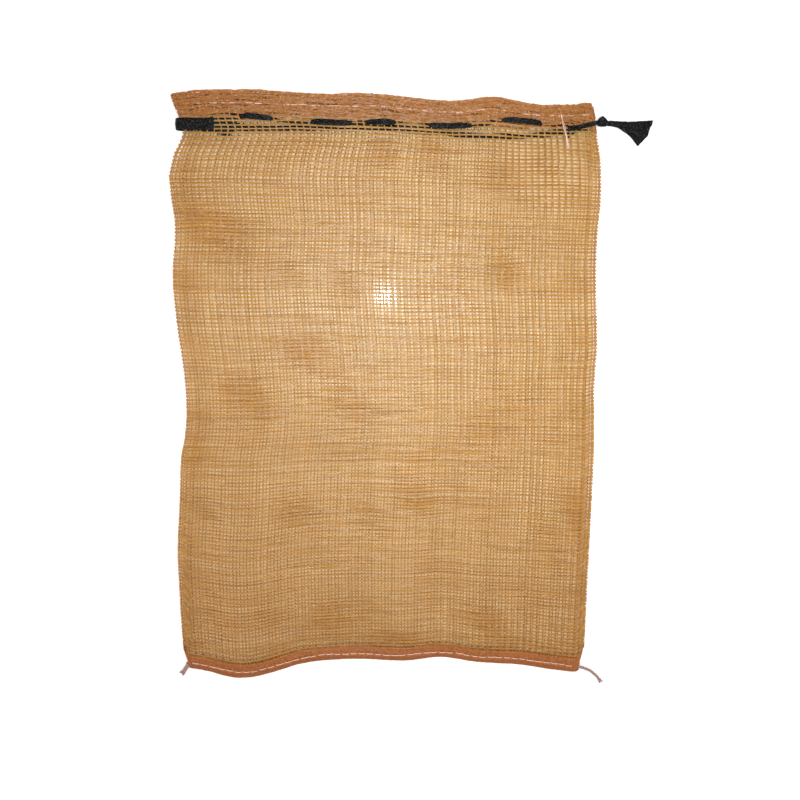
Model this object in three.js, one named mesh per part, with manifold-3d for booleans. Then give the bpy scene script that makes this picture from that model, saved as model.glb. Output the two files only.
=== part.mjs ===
// Mesh sack for vegetables, lying flat and empty with its mouth towards +Y.
// A tube of open leno net has no side seams. Its mouth is turned in and stitched, its lower end is
// folded up and closed with chain stitch, and a film tape is threaded round below the mouth hem.
// Millimetres, +X to the right as the sack lies, +Y towards the mouth, +Z up from the surface.

import * as THREE from "three";
import { mergeVertices } from "three/addons/utils/BufferGeometryUtils.js";
import Module from "manifold-3d";

// Driving dimensions

const netWidth = 420;          // tube lying flat, from edge fold to edge fold
const cutLength = 600;         // tube as cut from the roll
const mouthTurn = 14;          // net turned in at the mouth hem
const bottomTurn = 9;          // net folded up at the bottom hem
const netWall = 1.2;           // net over its crossing threads
const mouthHemHeight = 17;     // mouth hem from its stitching to the edge
const bottomHemHeight = 19;    // bottom hem from its upper side to the edge
const bodyLoft = 9.4;          // how high the lying tube stands in its middle
const mouthLoft = 10.8;        // how high the mouth stands, with the tape inside
const foldRoom = 0.6;          // air inside a side fold, as a radius
const edgeRun = 30;            // how far in from a side fold the tube reaches its full height
const tapeWidth = 24;          // film tape laid open
const tapeThick = 1.0;         // film tape gathered on itself, as it is threaded
const tapeBelow = 7.5;         // net between the mouth hem and the front run of the tape
const backBelow = 12;          // net between the mouth hem and the back run of the tape
const tapeSink = 0.8;          // how far the net sinks under each stretch of tape that lies on it
const tapeCrossing = 9;        // length that the tape takes to pass through the net
const turnReach = 10;          // how far the tape stands out past the left fold
const tapeEndOut = 0.2;        // how far the tape's two ends come out of the right fold
const knotWide = 10.5;         // knot of the tape, along X
const knotDeep = 9;            // knot of the tape, along Y
const knotHigh = 8;            // knot of the tape, along Z
const tailLength = 48;         // free tail of the tape past the knot
const tailThick = 0.9;         // free tail, gathered film
const threadTailWide = 3.2;    // end of the chain stitch yarn, as it spreads
const threadTailThick = 1.4;   // end of the chain stitch yarn, over the surface
const threadLeft = 13;         // left yarn end, outside the hem
const threadRight = 33;        // right yarn end, outside the hem
const gap = 0.3;               // air between two pieces that meet
const hemGap = 0.6;            // air between the net and a hem, whose edges wave
const tapeClear = 0.4;         // air between the tape and the net beside it

// Facets of the net tube

const sectionCount = 27;       // sections along the tube
const frontColumns = 34;       // facets across the front wall
const backColumns = 18;        // facets across the back wall
const tapeStep = 4;            // facets along the front run of the tape, twice as long on the back run
const hemSections = 4;         // sections along the mouth hem

// Sizes that follow

const sackLength = cutLength - mouthTurn - bottomTurn;
const halfWidth = netWidth / 2;
const bodyStart = bottomHemHeight + hemGap;
const bodyEnd = sackLength - mouthHemHeight - gap;
const hemWall = 2 * netWall;
const bottomHemThick = 4 * netWall;
const bodyFold = netWall + foldRoom;
const tapeSpread = tapeWidth / 4;
const frontLine = sackLength - mouthHemHeight - tapeBelow - tapeSpread / 2;
const rearLine = sackLength - mouthHemHeight - backBelow - tapeSpread / 2;

// Side folds: along is a share of the sack's length, left and right are shares of half its width,
// and loft is a share of the height of the lying tube. The tape pinches the left fold near the mouth,
// and the sack has a waist below its middle.
const sideFolds = [
  { along: -0.03, left: -0.990, right: 0.955, loft: 0.50 },
  { along: 0.00, left: -0.992, right: 0.966, loft: 0.50 },
  { along: 0.034, left: -1.004, right: 0.992, loft: 0.50 },
  { along: 0.08, left: -1.012, right: 0.995, loft: 0.74 },
  { along: 0.15, left: -1.016, right: 0.996, loft: 0.93 },
  { along: 0.22, left: -1.020, right: 0.999, loft: 0.98 },
  { along: 0.31, left: -1.004, right: 1.003, loft: 1.00 },
  { along: 0.39, left: -0.993, right: 1.006, loft: 1.00 },
  { along: 0.45, left: -0.965, right: 1.002, loft: 0.97 },
  { along: 0.52, left: -0.967, right: 0.996, loft: 0.96 },
  { along: 0.57, left: -0.981, right: 1.004, loft: 0.98 },
  { along: 0.62, left: -0.998, right: 1.000, loft: 1.00 },
  { along: 0.70, left: -1.011, right: 0.987, loft: 1.00 },
  { along: 0.78, left: -0.993, right: 0.986, loft: 0.99 },
  { along: 0.84, left: -1.012, right: 0.997, loft: 1.02 },
  { along: 0.88, left: -1.010, right: 0.993, loft: 1.06 },
  { along: 0.92, left: -0.962, right: 0.980, loft: 1.12 },
  { along: 0.947, left: -0.932, right: 0.965, loft: 1.15 },
  { along: 0.968, left: -0.972, right: 0.955, loft: 1.15 },
  { along: 1.00, left: -1.000, right: 0.936, loft: 1.08 },
];

// Lower edge: across is a share of half the width, rise a share of the bottom hem's height.
const lowerEdge = [
  { across: -1.00, rise: 0.28 },
  { across: -0.90, rise: 0.08 },
  { across: -0.78, rise: -0.36 },
  { across: -0.69, rise: -0.40 },
  { across: -0.57, rise: -0.10 },
  { across: -0.43, rise: 0.34 },
  { across: -0.18, rise: 0.48 },
  { across: 0.08, rise: 0.27 },
  { across: 0.27, rise: 0.42 },
  { across: 0.45, rise: 0.06 },
  { across: 0.70, rise: -0.21 },
  { across: 0.84, rise: -0.52 },
  { across: 1.00, rise: -0.80 },
];

// Mouth edge: across is a share of half the width, rise a share of the mouth hem's height.
const mouthEdge = [
  { across: -1.00, rise: -0.32 },
  { across: -0.93, rise: -0.15 },
  { across: -0.65, rise: 0.02 },
  { across: -0.30, rise: -0.11 },
  { across: -0.08, rise: 0.01 },
  { across: 0.20, rise: -0.27 },
  { across: 0.32, rise: -0.33 },
  { across: 0.50, rise: 0.00 },
  { across: 0.63, rise: -0.22 },
  { across: 0.75, rise: -0.40 },
  { across: 1.00, rise: -0.17 },
];

// Folds of the front wall: across and along place the middle, reach and spread are shares of the
// width along and across the fold, turn is in degrees from +Y, and height is a share of the loft.
const frontFolds = [
  { across: -0.68, along: 0.50, reach: 0.50, spread: 0.030, turn: 2, height: -0.10 },
  { across: -0.60, along: 0.50, reach: 0.46, spread: 0.035, turn: 2, height: 0.09 },
  { across: 0.05, along: 0.30, reach: 0.36, spread: 0.040, turn: -2, height: -0.09 },
  { across: 0.13, along: 0.42, reach: 0.40, spread: 0.045, turn: -3, height: 0.08 },
  { across: -0.84, along: 0.86, reach: 0.09, spread: 0.030, turn: -38, height: 0.12 },
  { across: -0.72, along: 0.80, reach: 0.11, spread: 0.030, turn: -30, height: -0.10 },
  { across: -0.62, along: 0.87, reach: 0.10, spread: 0.028, turn: -20, height: 0.12 },
  { across: -0.86, along: 0.47, reach: 0.12, spread: 0.035, turn: 70, height: 0.10 },
  { across: -0.80, along: 0.36, reach: 0.10, spread: 0.030, turn: 62, height: -0.08 },
  { across: 0.86, along: 0.66, reach: 0.10, spread: 0.035, turn: -66, height: -0.09 },
  { across: 0.55, along: 0.84, reach: 0.14, spread: 0.040, turn: 24, height: 0.08 },
  { across: 0.82, along: 0.90, reach: 0.08, spread: 0.028, turn: 32, height: 0.10 },
  { across: 0.30, along: 0.62, reach: 0.20, spread: 0.050, turn: 80, height: -0.07 },
  { across: -0.74, along: 0.09, reach: 0.10, spread: 0.035, turn: 8, height: 0.13 },
  { across: 0.78, along: 0.10, reach: 0.12, spread: 0.035, turn: -10, height: 0.12 },
];

// Film tape, front run from right to left: each stretch that lies on the net, as shares of half the
// width, with its rise off the straight line and its lean up to the right as shares of the tape's width.
const frontSpans = [
  { from: 0.713, to: 0.525, rise: 0.20, lean: -0.09 },
  { from: 0.363, to: 0.163, rise: -0.01, lean: 0.03 },
  { from: -0.006, to: -0.136, rise: 0.05, lean: 0.04 },
  { from: -0.222, to: -0.402, rise: 0.00, lean: -0.02 },
  { from: -0.590, to: -0.735, rise: 0.12, lean: -0.06 },
];

// Where the same tape comes out on the left for its turn round the fold, and its rise there, at its
// low place by the right fold and at its right end.
const turnStart = -0.869;
const turnRise = -0.16;
const lowPlace = { across: 0.845, rise: -0.03 };
const endRise = 0.26;

// Where the front run lies open under the net: its middle, its reach and how much broader it is.
const frontOpen = [
  { across: -0.839, reach: 0.045, more: 2.4 },
  { across: 0.880, reach: 0.035, more: 1.0 },
];

// Back run of the tape, inside the back wall, from left to right: its rise off its straight line as a
// share of the tape's width, and its spread as a share of the gathered tape's.
const backRun = [
  { across: -0.87, rise: 0.02, spread: 1.9 },
  { across: -0.66, rise: -0.04, spread: 1.0 },
  { across: -0.29, rise: 0.03, spread: 1.0 },
  { across: 0.12, rise: 0.07, spread: 1.0 },
  { across: 0.36, rise: -0.15, spread: 1.0 },
  { across: 0.70, rise: -0.08, spread: 1.0 },
  { across: 0.86, rise: 0.10, spread: 1.0 },
  { across: 1.00, rise: 0.35, spread: 1.0 },
];

// Cut end of the tape's tail, from its upper to its lower corner, as shares of the tail's length,
// measured from the knot.
const tailEnd = [
  { out: 0.98, up: 0.10 },
  { out: 0.97, up: 0.00 },
  { out: 0.92, up: -0.08 },
  { out: 0.895, up: -0.215 },
  { out: 0.81, up: -0.32 },
  { out: 0.68, up: -0.435 },
];

// Helpers for tables and shapes

function smooth(share) {
  const held = Math.min(1, Math.max(0, share));
  return held * held * (3 - 2 * held);
}

// Value of a table's column at a place, by a smooth curve through the rows.
function readTable(rows, key, column, place) {
  const last = rows.length - 1;
  const held = Math.min(rows[last][key], Math.max(rows[0][key], place));
  let row = 0;
  while (row < last - 1 && rows[row + 1][key] < held) {
    row += 1;
  }
  const before = rows[Math.max(0, row - 1)];
  const start = rows[row];
  const end = rows[row + 1];
  const after = rows[Math.min(last, row + 2)];
  const span = end[key] - start[key];
  const share = (held - start[key]) / span;
  const startSlope = ((end[column] - before[column]) / (end[key] - before[key])) * span;
  const endSlope = ((after[column] - start[column]) / (after[key] - start[key])) * span;
  const square = share * share;
  const cube = square * share;
  return start[column] * (2 * cube - 3 * square + 1) + startSlope * (cube - 2 * square + share)
    + end[column] * (3 * square - 2 * cube) + endSlope * (cube - square);
}

// Closed mesh from a list of closed rings of points, each with as many points, that runs round
// like a tyre's cross-section when its last ring joins its first, or is capped at both ends.
function ringMesh(rings, joined) {
  const count = rings[0].length;
  const positions = rings.flat().flatMap((point) => [point.x, point.y, point.z]);
  const faces = [];
  const steps = joined ? rings.length : rings.length - 1;
  for (let ring = 0; ring < steps; ring += 1) {
    const next = (ring + 1) % rings.length;
    for (let side = 0; side < count; side += 1) {
      const beside = (side + 1) % count;
      const a = ring * count + side;
      const b = ring * count + beside;
      const c = next * count + beside;
      const d = next * count + side;
      faces.push(a, b, c, a, c, d);
    }
  }
  if (!joined) {
    const end = (rings.length - 1) * count;
    for (let side = 1; side < count - 1; side += 1) {
      faces.push(0, side + 1, side);
      faces.push(end, end + side, end + side + 1);
    }
  }
  const geometry = new THREE.BufferGeometry();
  geometry.setAttribute("position", new THREE.Float32BufferAttribute(positions, 3));
  geometry.setIndex(faces);
  return facedOut(geometry);
}

// The same geometry with its faces turned to point out, judged by its signed volume.
function facedOut(geometry) {
  const place = geometry.attributes.position;
  const index = geometry.index.array;
  const corners = [new THREE.Vector3(), new THREE.Vector3(), new THREE.Vector3()];
  let volume = 0;
  for (let face = 0; face < index.length; face += 3) {
    corners.forEach((corner, k) => corner.fromBufferAttribute(place, index[face + k]));
    volume += corners[0].dot(corners[1].cross(corners[2]));
  }
  if (volume < 0) {
    for (let face = 0; face < index.length; face += 3) {
      [index[face + 1], index[face + 2]] = [index[face + 2], index[face + 1]];
    }
  }
  return geometry;
}

// Shape of the lying tube

function leftFold(height) {
  return halfWidth * readTable(sideFolds, "along", "left", height / sackLength);
}

function rightFold(height) {
  return halfWidth * readTable(sideFolds, "along", "right", height / sackLength);
}

// How high the tube stands: the bottom hem's thickness at its lower end, the mouth's at its upper.
function loftAt(height) {
  const share = readTable(sideFolds, "along", "loft", height / sackLength);
  if (height < sackLength * 0.15) {
    const full = 0.93 * bodyLoft;
    return bottomHemThick + (full - bottomHemThick) * smooth((height - bodyStart) / (sackLength * 0.12));
  }
  const mouthShare = smooth((height - sackLength * 0.84) / (sackLength * 0.1));
  return share * bodyLoft * (1 - mouthShare) + mouthShare * mouthLoft;
}

// Rise of the front wall by its folds.
function foldRise(across, height) {
  let rise = 0;
  for (const fold of frontFolds) {
    const dx = (across - fold.across) * halfWidth;
    const dy = height - fold.along * sackLength;
    const turn = THREE.MathUtils.degToRad(fold.turn);
    const alongFold = (dx * Math.sin(turn) + dy * Math.cos(turn)) / (fold.reach * netWidth);
    const acrossFold = (dx * Math.cos(turn) - dy * Math.sin(turn)) / (fold.spread * netWidth);
    rise += fold.height * bodyLoft * Math.exp(-alongFold * alongFold - acrossFold * acrossFold);
  }
  return rise;
}

// How far the front wall sinks below the stretches of tape that lie on it, fading down the sack.
function tapeDip(across, height) {
  const reach = 2 * mouthHemHeight;
  const fade = Math.exp(-Math.abs(height - frontLine) / reach);
  let dip = 0;
  for (const span of frontSpans) {
    const middle = (span.from + span.to) / 2;
    const half = (span.from - span.to) / 2;
    dip += smooth(1.6 - Math.abs(across - middle) / half);
  }
  return tapeSink * dip * fade;
}

function foldHeight(height) {
  return 0.42 * loftAt(height);
}

// Outer faces of the two walls at a place across the tube, as a share of its half width.
function frontFace(across, height, fold) {
  const half = (rightFold(height) - leftFold(height)) / 2;
  const full = smooth(((1 - Math.abs(across)) * half) / edgeRun);
  const low = foldHeight(height) + fold;
  const fade = smooth((height - bodyStart) / bottomHemHeight / 2) * full;
  const relief = (foldRise(across, height) - tapeDip(across, height)) * fade;
  return low + (loftAt(height) - low) * full + relief;
}

function backFace(across, height, fold) {
  const half = (rightFold(height) - leftFold(height)) / 2;
  const full = smooth(((1 - Math.abs(across)) * half) / edgeRun);
  return (foldHeight(height) - fold) * (1 - full);
}

// Place along Y of a point of the tube, whose two ends follow the lower and the mouth edge.
function alongPlace(across, height) {
  const share = height / sackLength;
  const lower = bottomHemHeight * readTable(lowerEdge, "across", "rise", across);
  const upper = mouthHemHeight * readTable(mouthEdge, "across", "rise", across);
  return height + lower * (1 - share) ** 3 + upper * share ** 24;
}

// One closed section of the tube, with its inner outline a wall inside the outer one.
function tubeSection(height, wall) {
  const left = leftFold(height);
  const right = rightFold(height);
  const middle = (left + right) / 2;
  const half = (right - left) / 2;
  const fold = wall + foldRoom;
  const flatShare = (half - fold) / half;
  const outline = [];
  for (let column = 0; column <= frontColumns; column += 1) {
    const across = flatShare * (1 - (2 * column) / frontColumns);
    outline.push({ x: middle + across * half, z: frontFace(across, height, fold) });
  }
  pushFold(outline, left + fold, height, fold, 1);
  for (let column = 0; column <= backColumns; column += 1) {
    const across = flatShare * ((2 * column) / backColumns - 1);
    outline.push({ x: middle + across * half, z: backFace(across, height, fold) });
  }
  pushFold(outline, right - fold, height, fold, -1);
  const inner = insetOutline(outline, wall);
  const place = (point) => {
    const across = (point.x - middle) / half;
    return new THREE.Vector3(point.x, alongPlace(across, height), point.z);
  };
  return { outer: outline.map(place), inner: inner.map(place) };
}

// Three points round a side fold, from the front wall down for the left one, and up for the right.
function pushFold(outline, centre, height, fold, side) {
  const level = foldHeight(height);
  for (const angle of [135, 180, 225]) {
    const turn = THREE.MathUtils.degToRad(angle);
    const x = centre + side * fold * Math.cos(turn);
    const z = level + side * fold * Math.sin(turn);
    outline.push({ x, z });
  }
}

// The outline moved inwards by a wall, each point along the mean of its two sides' normals.
function insetOutline(outline, wall) {
  const count = outline.length;
  return outline.map((point, k) => {
    const before = outline[(k + count - 1) % count];
    const after = outline[(k + 1) % count];
    const first = sideNormal(before, point);
    const second = sideNormal(point, after);
    const sum = { x: first.x + second.x, z: first.z + second.z };
    const reach = (2 * wall) / (sum.x * sum.x + sum.z * sum.z);
    return { x: point.x - sum.x * reach, z: point.z - sum.z * reach };
  });
}

function sideNormal(start, end) {
  const dx = end.x - start.x;
  const dz = end.z - start.z;
  const length = Math.hypot(dx, dz);
  return { x: dz / length, z: -dx / length };
}

// A stretch of the tube as a closed hollow band, open at both ends.
function tubeBand(from, to, sections, wall) {
  const rings = [];
  for (let section = 0; section < sections; section += 1) {
    const height = from + ((to - from) * section) / (sections - 1);
    rings.push(tubeSection(height, wall));
  }
  const outer = rings.map((ring) => ring.outer);
  const inner = rings.map((ring) => ring.inner).reverse();
  return ringMesh([...outer, ...inner], true);
}

// Film tape

// A place of the tape as a share across the tube, at its height.
function acrossToX(across, height) {
  const left = leftFold(height);
  const right = rightFold(height);
  return (left + right) / 2 + (across * (right - left)) / 2;
}

// Level of the tape against the front wall, from 0 inside it to 1 on it.
function tapeLevel(across) {
  const crossing = tapeCrossing / 2 / halfWidth;
  let level = smooth((turnStart - across) / crossing / 2 + 0.5);
  for (const span of frontSpans) {
    const middle = (span.from + span.to) / 2;
    const half = (span.from - span.to) / 2;
    level += smooth((half - Math.abs(across - middle)) / crossing / 2 + 0.5);
  }
  return level;
}

// Rise of the front run off its straight line, read between the two ends of each of its stretches.
function frontRise(across) {
  const rows = [
    { left: -1, rise: endRise },
    { left: -lowPlace.across, rise: lowPlace.rise },
    ...frontSpans.flatMap((span) => [
      { left: -span.from, rise: span.rise + span.lean / 2 },
      { left: -span.to, rise: span.rise - span.lean / 2 },
    ]),
    { left: -turnStart, rise: turnRise },
    { left: 1, rise: turnRise },
  ];
  return tapeWidth * readTable(rows, "left", "rise", -across);
}

// Spread of the front run: laid open near both folds, folded in two round the turn, and gathered
// elsewhere.
function frontSpread(across) {
  const turned = smooth((turnStart + 0.03 - across) / 0.04);
  let open = 0;
  for (const place of frontOpen) {
    open += place.more * Math.exp(-(((across - place.across) / place.reach) ** 2));
  }
  return tapeSpread * (1 + open * (1 - turned) + 0.9 * turned);
}

// The tape's middle line: in at the right fold, along the front, round the left fold and back.
function tapeRoute() {
  const route = [];
  const inset = netWall + tapeClear + tapeThick / 2;
  const outset = tapeClear + tapeThick / 2;
  const level = foldHeight(frontLine);
  const apart = bodyFold - tapeThick / 2;
  const middle = acrossToX(0, frontLine);
  const rightEnd = acrossToX(1, frontLine) + tapeEndOut;
  route.push({ x: rightEnd, y: frontLine + frontRise(1), z: level + apart, spread: tapeSpread });
  const edge = leftFold(rearLine);
  const frontStep = tapeStep / halfWidth;
  const frontEnd = (edge + turnReach - middle) / (acrossToX(1, frontLine) - middle);
  for (let across = 1 - frontStep; across > frontEnd; across -= frontStep) {
    const face = frontFace(across, frontLine, bodyFold);
    const inside = Math.max(face - inset, level + apart);
    const z = inside + (face + outset - inside) * tapeLevel(across);
    route.push({ x: acrossToX(across, frontLine), y: frontLine + frontRise(across), z, spread: frontSpread(across) });
  }
  const top = route[route.length - 1];
  const low = outset + tapeClear / 4;
  const centre = (top.z + low) / 2;
  const turnSteps = 8;
  for (let step = 0; step <= turnSteps; step += 1) {
    const turn = (Math.PI * step) / turnSteps;
    const x = edge - turnReach * Math.sin(turn);
    const z = centre + (top.z - centre) * Math.cos(turn);
    route.push({ x, y: top.y, z, spread: top.spread });
  }
  route.push({ x: edge + turnReach / 2, y: top.y, z: low, spread: top.spread });
  const backStep = (2 * tapeStep) / halfWidth;
  for (let across = backRun[0].across; across < 1; across += backStep) {
    const rise = tapeWidth * readTable(backRun, "across", "rise", across);
    const spread = tapeSpread * readTable(backRun, "across", "spread", across);
    const ending = smooth((across - backRun[backRun.length - 2].across) / backStep / 2);
    const inside = backFace(across, rearLine, bodyFold) + inset;
    const z = inside + (level - apart - inside) * ending;
    route.push({ x: acrossToX(across, rearLine), y: rearLine + rise, z, spread });
  }
  const lastRise = tapeWidth * backRun[backRun.length - 1].rise;
  route.push({ x: rightEnd, y: rearLine + lastRise, z: level - apart, spread: tapeSpread });
  return route;
}

// A flat tape along a route, its breadth along Y, grown on every side by a margin, and past its ends
// by a reach.
function tapeMesh(route, margin, reach) {
  const rings = route.map((point, k) => {
    const before = route[Math.max(0, k - 1)];
    const after = route[Math.min(route.length - 1, k + 1)];
    const along = new THREE.Vector3(after.x - before.x, 0, after.z - before.z).normalize();
    const up = new THREE.Vector3(-along.z, 0, along.x).multiplyScalar(tapeThick / 2 + margin);
    const half = point.spread / 2 + margin;
    const end = k === 0 ? -1 : Number(k === route.length - 1);
    const centre = new THREE.Vector3(point.x, point.y, point.z).addScaledVector(along, end * reach);
    return [[1, 1], [-1, 1], [-1, -1], [1, -1]].map(([side, level]) => {
      const corner = centre.clone().addScaledVector(up, level);
      corner.y += side * half;
      return corner;
    });
  });
  return ringMesh(rings, false);
}

// The knot: three turns of film pulled tight, as a lobed ball.
function knotMesh(centre) {
  const geometry = new THREE.SphereGeometry(1, 16, 10);
  geometry.deleteAttribute("normal");
  geometry.deleteAttribute("uv");
  const ball = mergeVertices(geometry);
  const place = ball.attributes.position;
  const point = new THREE.Vector3();
  for (let k = 0; k < place.count; k += 1) {
    point.fromBufferAttribute(place, k);
    const round = Math.atan2(point.z, point.y);
    const lobe = 1 - 0.07 * (1 + Math.cos(3 * round + 2.2 * point.x));
    place.setXYZ(k, centre.x + (point.x * knotWide * lobe) / 2, centre.y + (point.y * knotDeep * lobe) / 2,
      centre.z + (point.z * knotHigh * lobe) / 2);
  }
  return ball;
}

// The tape's tail: film that fans out from the knot in pleats to a slanted cut end.
function tailMesh(start) {
  const rows = 6;
  const columns = tailEnd.length;
  const neck = tapeSpread * 0.85;
  const upper = [];
  for (let row = 0; row <= rows; row += 1) {
    const share = row / rows;
    const line = tailEnd.map((end, column) => {
      const side = column / (columns - 1);
      const fromY = start.y + neck * (0.5 - side);
      const toX = start.x + end.out * tailLength;
      const toY = start.y + end.up * tailLength;
      const open = share ** 2.2;
      const pleat = 0.9 * (column % 2) * smooth(share * 3);
      const drop = start.z * (1 - smooth(share * 1.6)) + (tailThick + 0.2) * smooth(share * 1.6);
      return new THREE.Vector3(start.x + (toX - start.x) * share, fromY + (toY - fromY) * open, drop + pleat);
    });
    const below = line.map((point) => point.clone().setZ(point.z - tailThick)).reverse();
    upper.push([...line, ...below]);
  }
  return ringMesh(upper, false);
}

// Bottom hem: the net folded up on itself, along the lower edge.
function bottomHemMesh() {
  const stations = 34;
  const round = bottomHemThick * 0.32;
  const hemEnd = 0.996;
  const rings = [];
  for (let station = 0; station <= stations; station += 1) {
    const across = hemEnd * ((2 * station) / stations - 1);
    const edge = smooth((1 - Math.abs(across)) / 0.03);
    const thick = bottomHemThick * (0.72 + 0.28 * edge);
    const slant = across < 0 ? leftFold : rightFold;
    const corners = [
      [0, round], [round, 0], [bottomHemHeight - round, 0], [bottomHemHeight, round],
      [bottomHemHeight, thick - round], [bottomHemHeight - round, thick], [round, thick], [0, thick - round],
    ];
    rings.push(corners.map(([height, level]) => {
      const x = Math.abs(across) * slant(height);
      return new THREE.Vector3(x, alongPlace(across, height), level);
    }));
  }
  return ringMesh(rings, false);
}

// An end of the chain stitch yarn, lying on the surface and spreading to its cut end.
function yarnEnd(points, from, to) {
  const curve = new THREE.CatmullRomCurve3(points.map(([x, y]) => new THREE.Vector3(x, y, 0)));
  const steps = 7;
  const rings = [];
  for (let step = 0; step <= steps; step += 1) {
    const share = step / steps;
    const centre = curve.getPoint(share);
    const along = curve.getTangent(share);
    const across = new THREE.Vector3(-along.y, along.x, 0);
    const half = (from + (to - from) * share) / 2;
    const shape = [[1, 0.5], [0.6, 1], [-0.6, 1], [-1, 0.5], [-0.6, 0], [0.6, 0]];
    rings.push(shape.map(([side, level]) => {
      const corner = centre.clone().addScaledVector(across, side * half);
      corner.z = 0.1 + level * threadTailThick;
      return corner;
    }));
  }
  return ringMesh(rings, false);
}

// Solids cut from each other

const wasm = await Module();
wasm.setup();

function solidOf(geometry) {
  const merged = mergeVertices(geometry);
  const mesh = new wasm.Mesh({
    numProp: 3,
    vertProperties: Float32Array.from(merged.attributes.position.array),
    triVerts: Uint32Array.from(merged.index.array),
  });
  return new wasm.Manifold(mesh);
}

function geometryOf(solid) {
  const mesh = solid.getMesh();
  const geometry = new THREE.BufferGeometry();
  geometry.setAttribute("position", new THREE.Float32BufferAttribute(mesh.vertProperties, 3));
  geometry.setIndex(Array.from(mesh.triVerts));
  return geometry;
}

// Materials

const netOchre = new THREE.MeshStandardMaterial({ color: 0xc89a62, roughness: 0.55, metalness: 0 });
const hemOchre = new THREE.MeshStandardMaterial({ color: 0xb08050, roughness: 0.6, metalness: 0 });
const filmBlack = new THREE.MeshStandardMaterial({ color: 0x1f1d1a, roughness: 0.35, metalness: 0 });
const yarnPink = new THREE.MeshStandardMaterial({ color: 0xc79a86, roughness: 0.8, metalness: 0 });

// Assembly

const sack = new THREE.Group();

function addPiece(name, geometry, material) {
  const piece = new THREE.Mesh(geometry, material);
  piece.name = name;
  sack.add(piece);
}

const route = tapeRoute();
const leftmost = route.reduce((best, point, k) => (point.x < route[best].x ? k : best), 0);
const runs = [route.slice(0, leftmost + 1), route.slice(leftmost)];
const [frontCutter, backCutter] = runs.map((run) => solidOf(tapeMesh(run, gap, knotWide / 4)));
const wholeTube = solidOf(tubeBand(bodyStart, bodyEnd, sectionCount, netWall));
const netTube = wholeTube.subtract(frontCutter.add(backCutter));

addPiece("net_body", geometryOf(netTube), netOchre);
addPiece("mouth_hem", tubeBand(bodyEnd + gap, sackLength, hemSections, hemWall), hemOchre);
addPiece("bottom_hem", bottomHemMesh(), hemOchre);
addPiece("drawstring_tape", tapeMesh(route, 0, 0), filmBlack);

const tapeEnd = route[0];
const knotLevel = Math.max(foldHeight(frontLine), knotHigh / 2 + gap);
const knotCentre = new THREE.Vector3(tapeEnd.x + gap + knotWide / 2, tapeEnd.y, knotLevel);
addPiece("drawstring_knot", knotMesh(knotCentre), filmBlack);
const tailStart = new THREE.Vector3(knotCentre.x + knotWide / 2 + gap, knotCentre.y, knotCentre.z);
addPiece("drawstring_tail", tailMesh(tailStart), filmBlack);

const leftEnd = leftFold(bottomHemHeight / 2) - gap;
const rightEnd = rightFold(0) + gap;
const leftHeight = 0.5 * bottomHemHeight;
const rightHeight = -0.35 * bottomHemHeight;
addPiece("stitch_end_left", yarnEnd([
  [leftEnd, leftHeight],
  [leftEnd - 0.25 * threadLeft, leftHeight - 0.35 * threadLeft],
  [leftEnd - 0.5 * threadLeft, leftHeight - 0.85 * threadLeft],
], threadTailWide * 0.8, threadTailWide), yarnPink);
addPiece("stitch_end_right", yarnEnd([
  [rightEnd + threadTailWide / 2, rightHeight],
  [rightEnd + 0.4 * threadRight, rightHeight - 0.16 * threadRight],
  [rightEnd + 0.62 * threadRight, rightHeight - 0.34 * threadRight],
  [rightEnd + 0.78 * threadRight, rightHeight - 0.58 * threadRight],
], threadTailWide * 0.8, threadTailWide * 1.2), yarnPink);

// The origin is on the surface under the middle of the whole.

const whole = new THREE.Box3();
sack.children.forEach((piece) => whole.expandByObject(piece));
sack.position.set(-(whole.min.x + whole.max.x) / 2, -(whole.min.y + whole.max.y) / 2, -whole.min.z);
sack.updateMatrixWorld(true);

export default sack;
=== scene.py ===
"""Looks of an empty mesh sack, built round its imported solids.

The sack lies flat on a pale floor: a tube of leno net with a front and a back wall, hemmed at the mouth,
closed by chain stitch at the bottom, with a black film drawstring threaded round below the mouth.
Outline and wall heights are read off the solids, so every thread lies where its wall is.
"""

import functools
import math

import bpy
import numpy as np
from mathutils import Matrix, Vector
from mathutils.bvhtree import BVHTree


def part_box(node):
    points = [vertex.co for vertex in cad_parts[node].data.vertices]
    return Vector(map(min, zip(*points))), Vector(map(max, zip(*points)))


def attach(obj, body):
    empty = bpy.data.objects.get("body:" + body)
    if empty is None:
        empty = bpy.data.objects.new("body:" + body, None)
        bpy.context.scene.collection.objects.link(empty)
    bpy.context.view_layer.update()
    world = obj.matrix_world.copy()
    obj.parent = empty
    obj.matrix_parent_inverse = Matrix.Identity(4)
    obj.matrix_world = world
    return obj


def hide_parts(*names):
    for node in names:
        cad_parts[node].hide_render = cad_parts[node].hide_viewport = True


bl_info = {
    "name": "Mesh Sack",
    "version": (1, 0, 0),
    "blender": (4, 5, 0),
    "location": "View3D > Sidebar > Sack",
    "description": "Builds the net, hems, drawstring and stitching of an empty mesh sack",
    "category": "Object",
}

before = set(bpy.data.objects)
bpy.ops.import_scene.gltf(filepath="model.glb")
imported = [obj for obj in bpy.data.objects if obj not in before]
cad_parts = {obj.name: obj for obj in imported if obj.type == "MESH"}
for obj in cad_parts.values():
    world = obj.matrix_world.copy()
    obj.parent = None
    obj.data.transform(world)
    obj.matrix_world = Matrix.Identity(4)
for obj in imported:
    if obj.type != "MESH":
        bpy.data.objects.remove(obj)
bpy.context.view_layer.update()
MM = 0.001

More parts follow.
